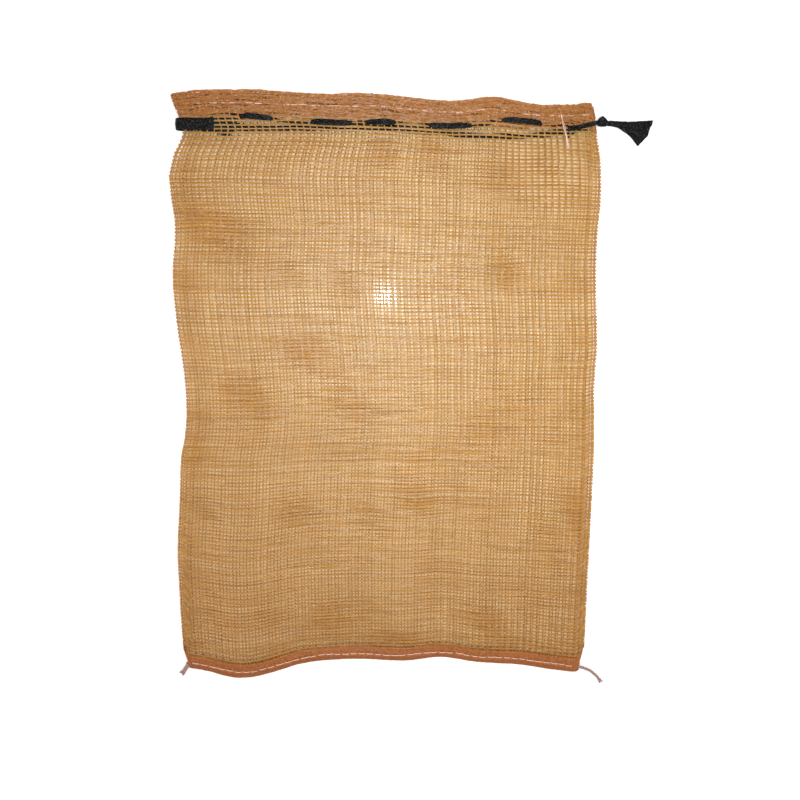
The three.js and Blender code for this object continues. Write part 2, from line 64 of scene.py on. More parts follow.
# Stage. Places are from the net's lower left corner.
NET_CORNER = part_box("net_body")[0]
CAMERA_PLACE = Vector((136.9, 390.7, 886.7)) * MM
CAMERA_RIGHT = Vector((0.995309, 0.006873, 0.096501))
CAMERA_LOOK = Vector((0.09658, -0.12890, -0.98694))
LAMP_PLACE = Vector((281.0, 369.7, 886.7)) * MM
SHADE_PLACE = Vector((255.0, 325.0, 886.7)) * MM
LAMP_COLOUR = (0.87, 1.05, 1.12)
ROOM_COLOUR = (1.0, 0.935, 0.915, 1.0)
FLOOR_LEVEL = -0.1 * MM
FLOOR_REACH = 4.0

# Net
NET_WIDE = 0.42  # woven width of one wall
NET_LONG = 0.6  # cut length of the tube
NET_START = 14.0 * MM  # the first weft's distance from the lower edge
NET_END = 22.5 * MM  # and the last one's from the mouth's edge
FOLD_PROUD = 0.8 * MM  # the loops of the wefts stand this far out of a side fold
BACK_LENGTHENED = 0.0107  # the back wall's net is drawn out by this share along the sack
BACK_WIDENED = 0.0083  # and by this one across it
BACK_CENTRE = (0.317, 0.69)  # from this place, as shares across and along the sack
BACK_EVEN = 0.33  # and along it not below this share
ABREAST = 0.0075  # shift across that brings the two walls' warps over each other at the upper right
ABREAST_SIDES = (0.7, 0.86, 0.93, 0.985)  # it grows between the first two shares across and fades after
ABREAST_UP = (0.78, 0.88)  # and grows between these shares along the sack
CROSSING_OVER = 0.3 * MM  # height of a crossing warp over the wefts' middle, and how deep it dips between
CROSSING_DIP = 0.22 * MM
GROUND_UNDER = 0.24 * MM  # depth of a ground warp under the wefts' middle
FOLD_SHARE = 0.022  # a weft has closer points within this share of its length from a fold

# Hems and stitches
STITCHED = (0.02, 0.985)  # the stitch lines run between these shares across the sack
MOUTH_LAYERS = 1.2 * MM  # from one layer of the mouth hem to the next
MOUTH_UNREST = 1.6  # its wefts stray this many times as far as those of the bottom hem
BOTTOM_LAYERS = 1.1 * MM  # from one layer of the bottom hem to the next
ROLL_TUCK = 1.5 * MM  # its layers reach this far down over its roll
BOTTOM_WARPS = ((0.0, 2.4), (0.25, -0.8), (0.5, 1.2), (0.75, 0.2))  # offset, and mm past the top row
TACKING = ((0.91, 0.982), (0.9186, 0.924))  # from here to there, as shares across and along the sack
# The yarn ends run through these points, in millimetres from the net's lower left corner.
YARN_LEFT = ((8.2, 3.8, 2.6), (4.9, -0.7, 2.3), (1.4, -6.3, 2.2))
YARN_RIGHT = (
    (416.6, -13.8, 1.9), (423.8, -15.9, 1.8), (431.1, -19.3, 1.6), (437.9, -25.3, 1.6), (443.2, -32.3, 1.6)
)

# Drawstring
FILM_OUT = 2.4 * MM  # the film's end comes out of the net by this much before the knot
FILM_OUT_FROM = (34 * MM, 27 * MM)  # between these distances from its end
FILM_OUT_WIDE = 4.6 * MM  # and is no wider than this there
FILM_TURN = 7 * MM  # the turn round the left fold takes this much of its length
PINCH = 0.45  # the film narrows by this share where it passes through the net
PINCH_FROM = (45 * MM, 50 * MM)  # but not before these distances from its start
FILM_UNDER = 1.7 * MM  # middle of the spread film under the solid wall's face
SPREADS = (
    ("film_spread_left", 0.1, 0.951, 24 * MM, 25 * MM, 55),
    ("film_spread_right", 0.926, 0.96, 17 * MM, 19 * MM, 58),
)  # spread stretches: name, share across and along, length, width, seed

# Sections of strands, as shares of half their width and thickness
ROUND = "round"
TAPE = np.array([(-1.0, -0.6), (0.0, 0.6), (1.0, -0.6)])  # a flat tape with a soft fold along its middle
FLAT = np.array([(-1.0, 0.0), (1.0, 0.0)])


def linear(hex_colour):
    """Linear RGBA of an sRGB hex colour."""
    channels = [int(hex_colour[start : start + 2], 16) / 255 for start in (1, 3, 5)]
    straight = [c / 12.92 if c <= 0.04045 else ((c + 0.055) / 1.055) ** 2.4 for c in channels]
    return (*straight, 1.0)


class NetSettings(bpy.types.PropertyGroup):
    """Sizes of the leno net."""

    weft_pitch: bpy.props.FloatProperty(
        name="Weft pitch", description="From one weft to the next", default=3.55 * MM, unit="LENGTH"
    )
    weft_width: bpy.props.FloatProperty(
        name="Weft width", description="Width of a weft tape", default=1.65 * MM, unit="LENGTH"
    )
    weft_thick: bpy.props.FloatProperty(
        name="Weft thickness",
        description="Thickness of a folded weft tape",
        default=0.3 * MM,
        unit="LENGTH",
    )
    warp_pairs: bpy.props.IntProperty(
        name="Warp pairs", description="Pairs of warp tapes across one wall", default=62
    )
    warp_width: bpy.props.FloatProperty(
        name="Warp width", description="Width of one warp tape", default=1.05 * MM, unit="LENGTH"
    )
    warp_thick: bpy.props.FloatProperty(
        name="Warp thickness", description="Thickness of one warp tape", default=0.3 * MM, unit="LENGTH"
    )
    warp_swing: bpy.props.FloatProperty(
        name="Warp swing",
        description="How far the crossing warp stands to each side",
        default=0.42 * MM,
        unit="LENGTH",
    )
    wall_depth: bpy.props.FloatProperty(
        name="Wall depth",
        description="The net's middle under the solid wall's face",
        default=0.6 * MM,
        unit="LENGTH",
    )
    drift: bpy.props.FloatProperty(
        name="Drift", description="How far wefts wander along the sack", default=1.25 * MM, unit="LENGTH"
    )


class HemSettings(bpy.types.PropertyGroup):
    """Sizes of the two hems."""

    mouth_height: bpy.props.FloatProperty(
        name="Mouth hem", description="Height of the turned-in mouth hem", default=25 * MM, unit="LENGTH"
    )
    mouth_rows: bpy.props.IntProperty(
        name="Mouth rows", description="Wefts in each layer of the mouth hem", default=15
    )
    bottom_height: bpy.props.FloatProperty(
        name="Bottom hem", description="Height of the folded bottom hem", default=14.5 * MM, unit="LENGTH"
    )
    bottom_rows: bpy.props.IntProperty(
        name="Bottom rows", description="Wefts in each layer of the bottom hem", default=7
    )
    roll_height: bpy.props.FloatProperty(
        name="Rolled edge",
        description="Height of the roll under the bottom stitches",
        default=7.0 * MM,
        unit="LENGTH",
    )
    loop_reach: bpy.props.FloatProperty(
        name="Loop reach",
        description="How far warp loops stand past the mouth edge",
        default=1.3 * MM,
        unit="LENGTH",
    )


class TapeSettings(bpy.types.PropertyGroup):
    """Sizes of the drawstring."""

    film_gathered: bpy.props.FloatProperty(
        name="Gathered film",
        description="Thickness of the film tape gathered on itself",
        default=1.0 * MM,
        unit="LENGTH",
    )


class SewingSettings(bpy.types.PropertyGroup):
    """Sizes of the stitching."""

    stitch_pitch: bpy.props.FloatProperty(
        name="Stitch pitch",
        description="From one chain stitch to the next",
        default=8.6 * MM,
        unit="LENGTH",
    )
    stitch_shown: bpy.props.FloatProperty(
        name="Stitch shown",
        description="Length of a stitch between its two holes",
        default=7.5 * MM,
        unit="LENGTH",
    )
    yarn_width: bpy.props.FloatProperty(
        name="Yarn width", description="Width of the sewing yarn", default=0.85 * MM, unit="LENGTH"
    )
    bottom_line: bpy.props.FloatProperty(
        name="Bottom line",
        description="From the lower edge to its stitches",
        default=7.3 * MM,
        unit="LENGTH",
    )
    mouth_line: bpy.props.FloatProperty(
        name="Mouth line",
        description="From the mouth's edge to its stitches",
        default=11 * MM,
        unit="LENGTH",
    )


class ColourSettings(bpy.types.PropertyGroup):
    """Colours of the sack."""

    weft: bpy.props.FloatVectorProperty(
        name="Weft",
        description="Weft tape",
        size=4,
        subtype="COLOR",
        min=0,
        max=1,
        default=linear("#CC9F50"),
    )
    warp: bpy.props.FloatVectorProperty(
        name="Warp",
        description="Warp tape",
        size=4,
        subtype="COLOR",
        min=0,
        max=1,
        default=linear("#C79554"),
    )
    film: bpy.props.FloatVectorProperty(
        name="Film",
        description="Drawstring film",
        size=4,
        subtype="COLOR",
        min=0,
        max=1,
        default=linear("#060606"),
    )
    yarn: bpy.props.FloatVectorProperty(
        name="Yarn",
        description="Sewing yarn",
        size=4,
        subtype="COLOR",
        min=0,
        max=1,
        default=linear("#F0CCBC"),
    )
    yarn_end: bpy.props.FloatVectorProperty(
        name="Yarn end", description="Handled ends of the yarn", size=4, subtype="COLOR", min=0, max=1,
        default=linear("#A1877F")
    )


class StageSettings(bpy.types.PropertyGroup):
    """Camera, floor and light."""

    lens: bpy.props.FloatProperty(name="Lens", description="Focal length in millimetres", default=40.0)
    lamp_power: bpy.props.FloatProperty(
        name="Lamp power", description="Power of the small lamp that glints", default=6.5, unit="POWER"
    )
    shade_power: bpy.props.FloatProperty(
        name="Shade power", description="Power of the broad soft lamp round it", default=19.0, unit="POWER"
    )
    sky: bpy.props.FloatProperty(
        name="Room light", description="Strength of the light from all round", default=1.06
    )


def waves(seed, x, y, size_x, size_y, count=7):
    """A smooth wandering value, mostly from -1 to 1, whose swells are about size_x by size_y."""
    rng = np.random.default_rng(seed)
    total = np.zeros(np.broadcast(x, y).shape)
    for _ in range(count):
        across = rng.normal() / size_x * 2.2
        along = rng.normal() / size_y * 2.2
        total = total + np.sin(x * across + y * along + rng.uniform(0, 2 * math.pi))
    return total / math.sqrt(count)


class SackForm:
    """The sack's outline and the height of its walls, read off its solids."""

    LOW_FADE = 3  # the lower edge's curve fades with this power up the sack
    HIGH_FADE = 24  # and the mouth edge's curve fades down it with this one
    EDGE_DEPTH = 1.2 * MM  # rays for the edges run this high, this far under the top, and at half height

    def __init__(self):
        self.tree = solid_tree("net_body", "mouth_hem", "bottom_hem")
        self.left_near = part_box("net_body")[0].x + 5 * MM
        self.right_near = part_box("net_body")[1].x - 5 * MM
        self.low_cross, self.low = self.edge_line("bottom_hem", 1)
        self.high_cross, self.high = self.edge_line("mouth_hem", -1)
        self.base = float(self.low.mean())
        self.length = float(self.high.mean()) - self.base
        self.shares = np.linspace(0.004, 0.996, 130)
        self.left = self.side_line(self.left_near - 0.05, 1, self.left_near)
        self.right = self.side_line(self.right_near + 0.05, -1, self.right_near)
        self.columns = np.linspace(0.03, 0.97, 40)
        self.top = self.heights(1)
        self.bottom = self.heights(-1)

    def edge_line(self, hem, way):
        """The hem's outer edge: places across, and how far along the sack the edge is there."""
        low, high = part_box(hem)
        start = (low.y if way > 0 else high.y) - way * 0.02
        cross = np.linspace(low.x + 0.6 * MM, high.x - 0.6 * MM, 110)
        found = []
        for x in cross:
            rays = [
                self.tree.ray_cast(Vector((x, start, level)), Vector((0, way, 0)))[0]
                for level in (self.EDGE_DEPTH, high.z / 2, high.z - self.EDGE_DEPTH)
            ]
            hits = [way * ray.y for ray in rays if ray]
            found.append(way * min(hits) if hits else math.nan)
        return cross, mended(cross, np.array(found), 4 * MM)

    def side_line(self, start, way, near):
        """Where a side fold is at each share, at half the height that the sack has close to it."""
        found = []
        for share in self.shares:
            y = float(self.along(share, near))
            above = self.tree.ray_cast(Vector((near + way * 12 * MM, y, 0.1)), Vector((0, 0, -1)))[0]
            level = above.z / 2 if above else 4 * MM
            hit = self.tree.ray_cast(Vector((start, y, level)), Vector((way, 0, 0)))[0]
            found.append(hit.x if hit and abs(hit.x - near) < 16 * MM else math.nan)
        return mended(self.shares, np.array(found), 2.5 * MM)

    def heights(self, way):
        """The outer height of the front wall (way 1) or the back wall (way -1), by columns and shares."""
        table = np.zeros((len(self.columns), len(self.shares)))
        for column, across in enumerate(self.columns):
            for row, share in enumerate(self.shares):
                x, y = self.spot(across, share)
                hit = self.tree.ray_cast(Vector((x, y, way * 0.1)), Vector((0, 0, -way)))[0]
                table[column, row] = hit.z if hit else math.nan
            table[column] = mended(self.shares, table[column], 1.2 * MM)
        return table

    def along(self, share, x):
        """How far along the sack a share lies at x, between the curves of its two edges."""
        low = np.interp(x, self.low_cross, self.low) - self.base
        high = np.interp(x, self.high_cross, self.high) - self.base - self.length
        low, high = low * (1 - share) ** self.LOW_FADE, high * share**self.HIGH_FADE
        return self.base + share * self.length + low + high

    def spot(self, across, share):
        """Where these shares lie, seen from above."""
        left = np.interp(share, self.shares, self.left)
        right = np.interp(share, self.shares, self.right)
        x = left + across * (right - left)
        return x, self.along(share, x)

    def level(self, table, across, share):
        """A height between the table's columns and shares."""
        column = np.clip(
            np.interp(across, self.columns, np.arange(len(self.columns))), 0, len(self.columns) - 1.001
        )
        row = np.clip(np.interp(share, self.shares, np.arange(len(self.shares))), 0, len(self.shares) - 1.001)
        c, r = column.astype(int), row.astype(int)
        fc, fr = column - c, row - r
        near = table[c, r] * (1 - fc) + table[c + 1, r] * fc
        far = table[c, r + 1] * (1 - fc) + table[c + 1, r + 1] * fc
        return near * (1 - fr) + far * fr

    def place(self, across, share, face, depth):
        """Points on the front (face 1) or back (face -1) wall, depth under its outer face.
        across runs from 0 at the left fold to 1 at the right one, share from the lower edge to the mouth."""
        across, share = np.broadcast_arrays(across, share)
        left = np.interp(share, self.shares, self.left)
        right = np.interp(share, self.shares, self.right)
        x = left + across * (right - left)
        y = self.along(share, x)
        top = self.level(self.top, across, share)
        bottom = self.level(self.bottom, across, share)
        middle, half = (top + bottom) / 2, (top - bottom) / 2
        inset = np.minimum(across, 1 - across) * (right - left)
        bend = np.clip(inset / half, 0, 1)
        rise = np.sqrt(1 - (1 - bend) ** 2)
        inward = np.where(across < 0.5, 1, -1) * (depth - FOLD_PROUD) * (1 - bend)
        z = middle + face * (half - depth) * rise
        return np.stack([x + inward, y, z], axis=-1)


@functools.cache
def sack_form():
    """The sack's form, read once for all operators."""
    return SackForm()


def solid_tree(*names):
    """One search tree of these solids."""
    corners, faces = [], []
    for name in names:
        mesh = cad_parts[name].data
        start = len(corners)
        corners += [vertex.co.copy() for vertex in mesh.vertices]
        faces += [[start + corner for corner in face.vertices] for face in mesh.polygons]
    return BVHTree.FromPolygons(corners, faces)


def mended(places, values, jump):
    """values with gaps and single outliers filled from their neighbours."""
    good = ~np.isnan(values)
    filled = np.interp(places, places[good], values[good])
    window = np.stack([np.roll(filled, shift) for shift in range(-3, 4)])
    usual = np.median(window, axis=0)
    usual[:3], usual[-3:] = filled[:3], filled[-3:]
    good = good & (np.abs(values - usual) < jump)
    return np.interp(places, places[good], values[good])


def put_in(name, data):
    """A new object in the scene."""
    piece = bpy.data.objects.new(name, data)
    bpy.context.scene.collection.objects.link(piece)
    return piece


def circle(corners):
    """The angles and the corners of a circle of radius 1."""
    angles = 2 * math.pi * np.arange(corners) / corners
    return angles, np.stack([np.cos(angles), np.sin(angles)], axis=-1)


def strand_mesh(name, centres, widths, thicks, across_hint, section, rolls=0.0, corners=6):
    """One mesh of many strands. centres is (strands, points, 3); widths, thicks and rolls fit that.
    section is ROUND for closed strands, an open line for tapes, or an array of closed outlines."""
    count, points = centres.shape[:2]
    tangents = np.gradient(centres, axis=1)
    tangents /= np.linalg.norm(tangents, axis=2, keepdims=True) + 1e-12
    hint = np.broadcast_to(np.asarray(across_hint, float), centres.shape)
    across = hint - (hint * tangents).sum(2, keepdims=True) * tangents
    across /= np.linalg.norm(across, axis=2, keepdims=True) + 1e-12
    above = np.cross(tangents, across)
    closed = section is ROUND or section.ndim > 2
    if section is ROUND:
        section = circle(corners)[1]
    sides = section.shape[-2]
    section = np.broadcast_to(section, (count, points, sides, 2))
    wide = section[..., 0] * np.broadcast_to(widths, (count, points))[..., None] / 2
    high = section[..., 1] * np.broadcast_to(thicks, (count, points))[..., None] / 2
    turn = np.broadcast_to(rolls, (count, points))[..., None]
    level = wide * np.cos(turn) - high * np.sin(turn)
    raised = wide * np.sin(turn) + high * np.cos(turn)
    corner = centres[:, :, None] + level[..., None] * across[:, :, None]
    corner = corner + raised[..., None] * above[:, :, None]
    index = np.arange(count * points * sides).reshape(count, points, sides)
    last = sides if closed else sides - 1
    here, after = index[..., :last], np.roll(index, -1, axis=2)[..., :last]
    faces = np.stack([here[:, :-1], after[:, :-1], after[:, 1:], here[:, 1:]], axis=-1)
    faces = faces.reshape(-1, 4).tolist()
    if closed:
        faces += index[:, 0, ::-1].tolist() + index[:, -1].tolist()
    mesh = bpy.data.meshes.new(name)
    mesh.from_pydata(corner.reshape(-1, 3).tolist(), [], faces)
    piece = put_in(name, mesh)
    mesh.polygons.foreach_set("use_smooth", np.ones(len(mesh.polygons), bool))
    lay_out(mesh, count, points, last, sides if closed else 0)
    return piece


def lay_out(mesh, count, points, sides, cap_corners):
    """A map with one row for each side of each strand, so that a strand's tones run along its row."""
    strand, step, side = np.meshgrid(np.arange(count), np.arange(points - 1), np.arange(sides), indexing="ij")
    row = (strand * sides + side).reshape(-1)
    step = step.reshape(-1)
    rows, steps = count * sides, points - 1
    low, high = (row + 0.1) / rows, (row + 0.9) / rows
    start, end = step / steps, (step + 1) / steps
    places = [np.stack([start, low, start, high, end, high, end, low], axis=-1).reshape(-1)]
    if cap_corners:
        spread = 0.2 / max(rows, steps)
        cap = spread * circle(cap_corners)[1]
        begins = (np.arange(count) * sides + 0.5) / rows
        for across in (spread, 1 - spread):
            middle = np.stack([np.full(count, across), begins], axis=-1)
            places.append((cap[None] + middle[:, None]).reshape(-1))
    layer = mesh.uv_layers.new(name="OFBake")
    layer.data.foreach_set("uv", np.concatenate(places).astype(np.float32))


def dress(piece, slot, material, *nodes):
    """Gives a piece its material, its body and the solids that it stands for. slot, the record's slot, is not
    used.
    """
    piece.data.materials.append(material)
    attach(piece, "root")
    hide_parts(*nodes)
    return piece


def add_node(tree, kind, settings=(), links=()):
    """Adds a node. settings and links are pairs of a socket's name or index, or an attribute's name,
    and its value or the output that feeds it."""
    node = tree.nodes.new(kind)
    for name, value in settings:
        if isinstance(name, str) and name not in node.inputs:
            setattr(node, name, value)
        else:
            node.inputs[name].default_value = value
    for name, source in links:
        tree.links.new(source, node.inputs[name])
    return node


def new_material(name):
    """An empty material and its node tree."""
    material = bpy.data.materials.new(name)
    material.use_nodes = True
    material.node_tree.nodes.clear()
    return material, material.node_tree


def per(size_mm):
    """Noise scale for features of this size in millimetres."""
    return 1 / (size_mm * MM)


def scaled(colour, red, green, blue):
    """A colour with each channel times its own factor."""
    return (colour[0] * red, colour[1] * green, colour[2] * blue, 1.0)


def tape_material(name, colour, run_x, run_y, contrast=1.0, painted_glint_level=0.6):
    """Drawn polyolefin tape: film that is slit and stretched until its skin splits into fibres, which
    gives it a satin sheen and lets light through. run_x and run_y are the sizes of its tones in
    millimetres, and contrast how far they part. painted_glint_level is how pale its painted glints are:
    specks painted into its colour for light caught on the tape."""
    material, tree = new_material(name)
    place = add_node(tree, "ShaderNodeTexCoord").outputs["Object"]
    # Thick and thin film takes the dye unevenly, so tone changes from tape to tape and slowly along each.
    stretched = add_node(
        tree, "ShaderNodeMapping", [("Scale", (per(run_x), per(run_y), per(20)))], [("Vector", place)]
    ).outputs[0]
    tone = add_node(
        tree,
        "ShaderNodeTexNoise",
        [("Scale", 1.0), ("Detail", 3.0), ("Roughness", 0.6)],
        [("Vector", stretched)],
    ).outputs["Fac"]
    tones = add_node(tree, "ShaderNodeValToRGB", links=[("Fac", tone)])
    ramp = tones.color_ramp
    ramp.elements[0].position = 0.34
    ramp.elements[0].color = scaled(colour, *(1 - contrast * part for part in (0.16, 0.22, 0.3)))
    ramp.elements[1].position = 0.66
    ramp.elements[1].color = scaled(colour, *(1 + contrast * part for part in (0.1, 0.13, 0.2)))
    between = ramp.elements.new(0.5)
    between.color = colour
    # Patches as wide as a hand lie redder, where the net is pulled closer.
    patches = add_node(
        tree, "ShaderNodeTexNoise", [("Scale", per(75)), ("Detail", 2.0)], [("Vector", place)]
    ).outputs["Fac"]
    reddened = add_node(
        tree,
        "ShaderNodeMix",
        [("data_type", "RGBA"), ("blend_type", "MULTIPLY"), (7, (0.95, 0.86, 0.74, 1.0))],
        [(0, patches), (6, tones.outputs["Color"])],
    ).outputs[2]
    # Painted glints: pale specks painted into the colour for light caught on the tape, meant as 0.3 mm, drawn
    # at 1.6 mm because finer ones wouldn't show.
    painted_glints = add_node(
        tree, "ShaderNodeTexNoise", [("Scale", per(1.6)), ("Detail", 1.0)], [("Vector", place)]
    ).outputs["Fac"]
    painted_glints = add_node(
        tree,
        "ShaderNodeMapRange",
        [("From Min", 0.62), ("From Max", 0.7), ("To Max", painted_glint_level)],
        [("Value", painted_glints)],
    ).outputs[0]
    reddened = add_node(
        tree,
        "ShaderNodeMix",
        [("data_type", "RGBA"), (7, linear("#F6E4B2"))],
        [(0, painted_glints), (6, reddened)],
    ).outputs[2]
    # The split fibres are about 0.1 mm wide, drawn at 0.7 mm for the same reason.
    fibres = add_node(
        tree, "ShaderNodeTexNoise", [("Scale", per(0.7)), ("Detail", 2.0)], [("Vector", place)]
    ).outputs["Fac"]
    bump = add_node(
        tree, "ShaderNodeBump", [("Strength", 0.6), ("Distance", 0.18 * MM)], [("Height", fibres)]
    ).outputs[0]
    gloss = add_node(
        tree, "ShaderNodeMapRange", [("To Min", 0.12), ("To Max", 0.5)], [("Value", fibres)]
    ).outputs[0]
    satin = add_node(
        tree,
        "ShaderNodeBsdfPrincipled",
        [("IOR", 1.49), ("Specular IOR Level", 0.6)],
        [("Base Color", reddened), ("Roughness", gloss), ("Normal", bump)],
    )
    glow = add_node(tree, "ShaderNodeBsdfTranslucent", links=[("Color", reddened), ("Normal", bump)])
    shader = add_node(
        tree, "ShaderNodeMixShader", [(0, 0.5)], [(1, satin.outputs[0]), (2, glow.outputs[0])]
    )
    add_node(tree, "ShaderNodeOutputMaterial", links=[("Surface", shader.outputs[0])])
    return material


def film_material(name, colour):
    """Blown LDPE film with carbon black: smooth from the bubble that it was blown as, so it is glossy and
    opaque, with creases that gathering has pressed into it, and grey specks painted on as glints of light."""
    material, tree = new_material(name)
    place = add_node(tree, "ShaderNodeTexCoord").outputs["Object"]
    # Creases lie about 2 mm apart.
    creases = add_node(
        tree,
        "ShaderNodeTexNoise",
        [("Scale", per(2.2)), ("Detail", 4.0), ("Roughness", 0.6)],
        [("Vector", place)],
    ).outputs["Fac"]
    # Painted glints: grey specks 0.2 mm wide for light caught on the ridges, drawn at 1.3 mm because finer
    # ones wouldn't show.
    glints = add_node(
        tree, "ShaderNodeTexNoise", [("Scale", per(1.3)), ("Detail", 2.0)], [("Vector", place)]
    ).outputs["Fac"]
    tones = add_node(tree, "ShaderNodeValToRGB", links=[("Fac", glints)])
    ramp = tones.color_ramp
    ramp.elements[0].position = 0.52
    ramp.elements[0].color = colour
    ramp.elements[1].position = 0.74
    ramp.elements[1].color = scaled(colour, 30, 31, 30)
    tones = tones.outputs["Color"]
    gloss = add_node(
        tree, "ShaderNodeMapRange", [("To Min", 0.14), ("To Max", 0.4)], [("Value", creases)]
    ).outputs[0]
    bump = add_node(
        tree, "ShaderNodeBump", [("Strength", 1.0), ("Distance", 0.8 * MM)], [("Height", creases)]
    ).outputs[0]
    shader = add_node(
        tree,
        "ShaderNodeBsdfPrincipled",
        [("IOR", 1.51), ("Specular IOR Level", 0.07)],
        [("Base Color", tones), ("Roughness", gloss), ("Normal", bump)],
    )
    add_node(tree, "ShaderNodeOutputMaterial", links=[("Surface", shader.outputs[0])])
    return material


def yarn_material(name, colour):
    """Spun polyester sewing yarn: short fibres twisted together, which make it matt and slightly hairy,
    and paler on its raised plies."""
    material, tree = new_material(name)
    place = add_node(tree, "ShaderNodeTexCoord").outputs["Object"]
    # Fibre ends lie about 0.1 mm apart, drawn at 0.9 mm because finer ones wouldn't show.
    hairs = add_node(
        tree, "ShaderNodeTexNoise", [("Scale", per(0.9)), ("Detail", 3.0)], [("Vector", place)]
    ).outputs["Fac"]
    tones = add_node(
        tree,
        "ShaderNodeMix",
        [("data_type", "RGBA"), (6, scaled(colour, 0.8, 0.72, 0.68)), (7, scaled(colour, 1.08, 1.1, 1.12))],
        [(0, hairs)],
    ).outputs[2]
    bump = add_node(
        tree, "ShaderNodeBump", [("Strength", 0.6), ("Distance", 0.15 * MM)], [("Height", hairs)]
    ).outputs[0]
    shader = add_node(
        tree,
        "ShaderNodeBsdfPrincipled",
        [("IOR", 1.53), ("Roughness", 0.75), ("Sheen Weight", 0.25)],
        [("Base Color", tones), ("Normal", bump)],
    )
    add_node(tree, "ShaderNodeOutputMaterial", links=[("Surface", shader.outputs[0])])
    return material


def card_material(name, colour, glow):
    """Coated card: clay pressed smooth over paper, with just enough gloss that a lamp shows in it.
    glow lifts it as light from behind does."""
    material, tree = new_material(name)
    place = add_node(tree, "ShaderNodeTexCoord").outputs["Object"]
    # The paper's grain, about 1.5 mm, shows faintly through the clay.
    grain = add_node(
        tree, "ShaderNodeTexNoise", [("Scale", per(1.5)), ("Detail", 3.0)], [("Vector", place)]
    ).outputs["Fac"]
    bump = add_node(
        tree, "ShaderNodeBump", [("Strength", 0.03), ("Distance", 0.05 * MM)], [("Height", grain)]
    ).outputs[0]
    shader = add_node(
        tree,
        "ShaderNodeBsdfPrincipled",
        [
            ("Base Color", colour),
            ("Roughness", 0.09),
            ("Specular IOR Level", 0.12),
            ("Emission Color", linear("#FFFFFF")),
            ("Emission Strength", glow),
        ],
        [("Normal", bump)],
    )
    add_node(tree, "ShaderNodeOutputMaterial", links=[("Surface", shader.outputs[0])])
    return material


def spot_lamp(name, power, radius, place):
    """A lamp that shines straight down, and less towards the sides."""
    bulb = bpy.data.lights.new(name, "SPOT")
    bulb.energy = power
    bulb.color = LAMP_COLOUR
    bulb.shadow_soft_size = radius
    bulb.spot_size = math.radians(54)
    bulb.spot_blend = 1.0
    put_in(name, bulb).location = NET_CORNER + place


def card_floor(form):
    """The floor: a wide sheet, and within the sack's outline the same sheet with the net's warm shadow
    painted on.
    """
    shares = np.linspace(0.01, 0.99, 50)
    acrosses = np.linspace(0.012, 0.988, 50)
    sides = [
        form.spot(0.008 + 0 * shares, shares),
        form.spot(acrosses, 0.994 + 0 * acrosses),
        form.spot(0.992 + 0 * shares, shares[::-1]),
        form.spot(acrosses[::-1], 0.006 + 0 * acrosses),
    ]
    outline = np.concatenate([np.stack(side, axis=-1) for side in sides])
    away = outline - outline.mean(axis=0)
    wide = outline.mean(axis=0) + away / np.linalg.norm(away, axis=1, keepdims=True) * FLOOR_REACH
    count = len(outline)
    corners = [(x, y, FLOOR_LEVEL) for x, y in np.concatenate([outline, wide])]
    faces = [tuple(range(count))]
    faces += [(k, count + k, count + (k + 1) % count, (k + 1) % count) for k in range(count)]
    mesh = bpy.data.meshes.new("floor")
    mesh.from_pydata(corners, [], faces)
    mesh.polygons.foreach_set("material_index", [1] + [0] * count)
    return put_in("floor", mesh)


def weft_crossings(inner, ends):
    """Places across a wall for a weft's points: even inside, and closer where it turns round a fold."""
    fold = 0.5 - 0.5 * np.cos(np.linspace(0, math.pi / 2, ends))
    fold = FOLD_SHARE * fold / fold[-1]
    return np.concatenate([fold[:-1], np.linspace(fold[-1], 1 - fold[-1], inner), 1 - fold[-2::-1]])


def net_wall(form, net, face, seed):
    """The wefts and the warps of one wall between the hems."""
    rng = np.random.default_rng(seed)
    wall = "front" if face > 0 else "back"
    first = NET_START / form.length
    last = 1 - NET_END / form.length
    rows = int((last - first) * form.length / net.weft_pitch)
    shares = np.linspace(first, last, rows) + rng.normal(0, 0.08 * MM, rows) / form.length
    across = weft_crossings(84, 5)
    share = shares[:, None] + np.zeros((1, len(across)))
    metres = across[None] * NET_WIDE
    share = share + weft_wander(net, metres, share * form.length, seed) / form.length
    if face < 0:
        share = drawn_out(share)
    centres = form.place(across[None], share, face, net.wall_depth)
    # Width and roll change along each weft by themselves, so the waves are read far apart between rows.
    row = shares[:, None] * NET_LONG
    wide = 1 + 0.2 * waves(seed + 1, metres, row * 40, 0.03, 0.03) + rng.normal(0, 0.12, (rows, 1))
    wide = np.clip(net.weft_width * wide, 0.5 * net.weft_width, 1.6 * net.weft_width)
    roll = 0.3 * waves(seed + 2, metres, row * 60, 0.02, 0.03)
    wefts = strand_mesh(f"net_{wall}_wefts", centres, wide, net.weft_thick, (0, 1, 0), TAPE, roll)
    warps = net_warps(form, net, face, seed, shares, rng)
    return wefts, warps


def drawn_out(share):
    """Places along the back wall, whose net is drawn out a little more than the front's."""
    return share + BACK_LENGTHENED * (np.maximum(share, BACK_EVEN) - BACK_CENTRE[1])


def ramp_up(value, low, high):
    """Smoothly from 0 at low to 1 at high."""
    share = np.clip((value - low) / (high - low), 0, 1)
    return share * share * (3 - 2 * share)


def weft_wander(net, x, y, seed):
    """How far wefts leave their even places, in metres: slow swells that both walls share, and smaller
    ones of each wall by itself, where its rows then lie between those of the other wall."""
    shared = waves(11, x, y, 0.10, 0.12)
    own = waves(seed + 12, x, y, 0.05, 0.07)
    fine = waves(seed + 13, x, y, 0.03, 0.008)
    return net.drift * (0.7 * shared + 0.3 * own * np.abs(own) + 0.07 * fine)


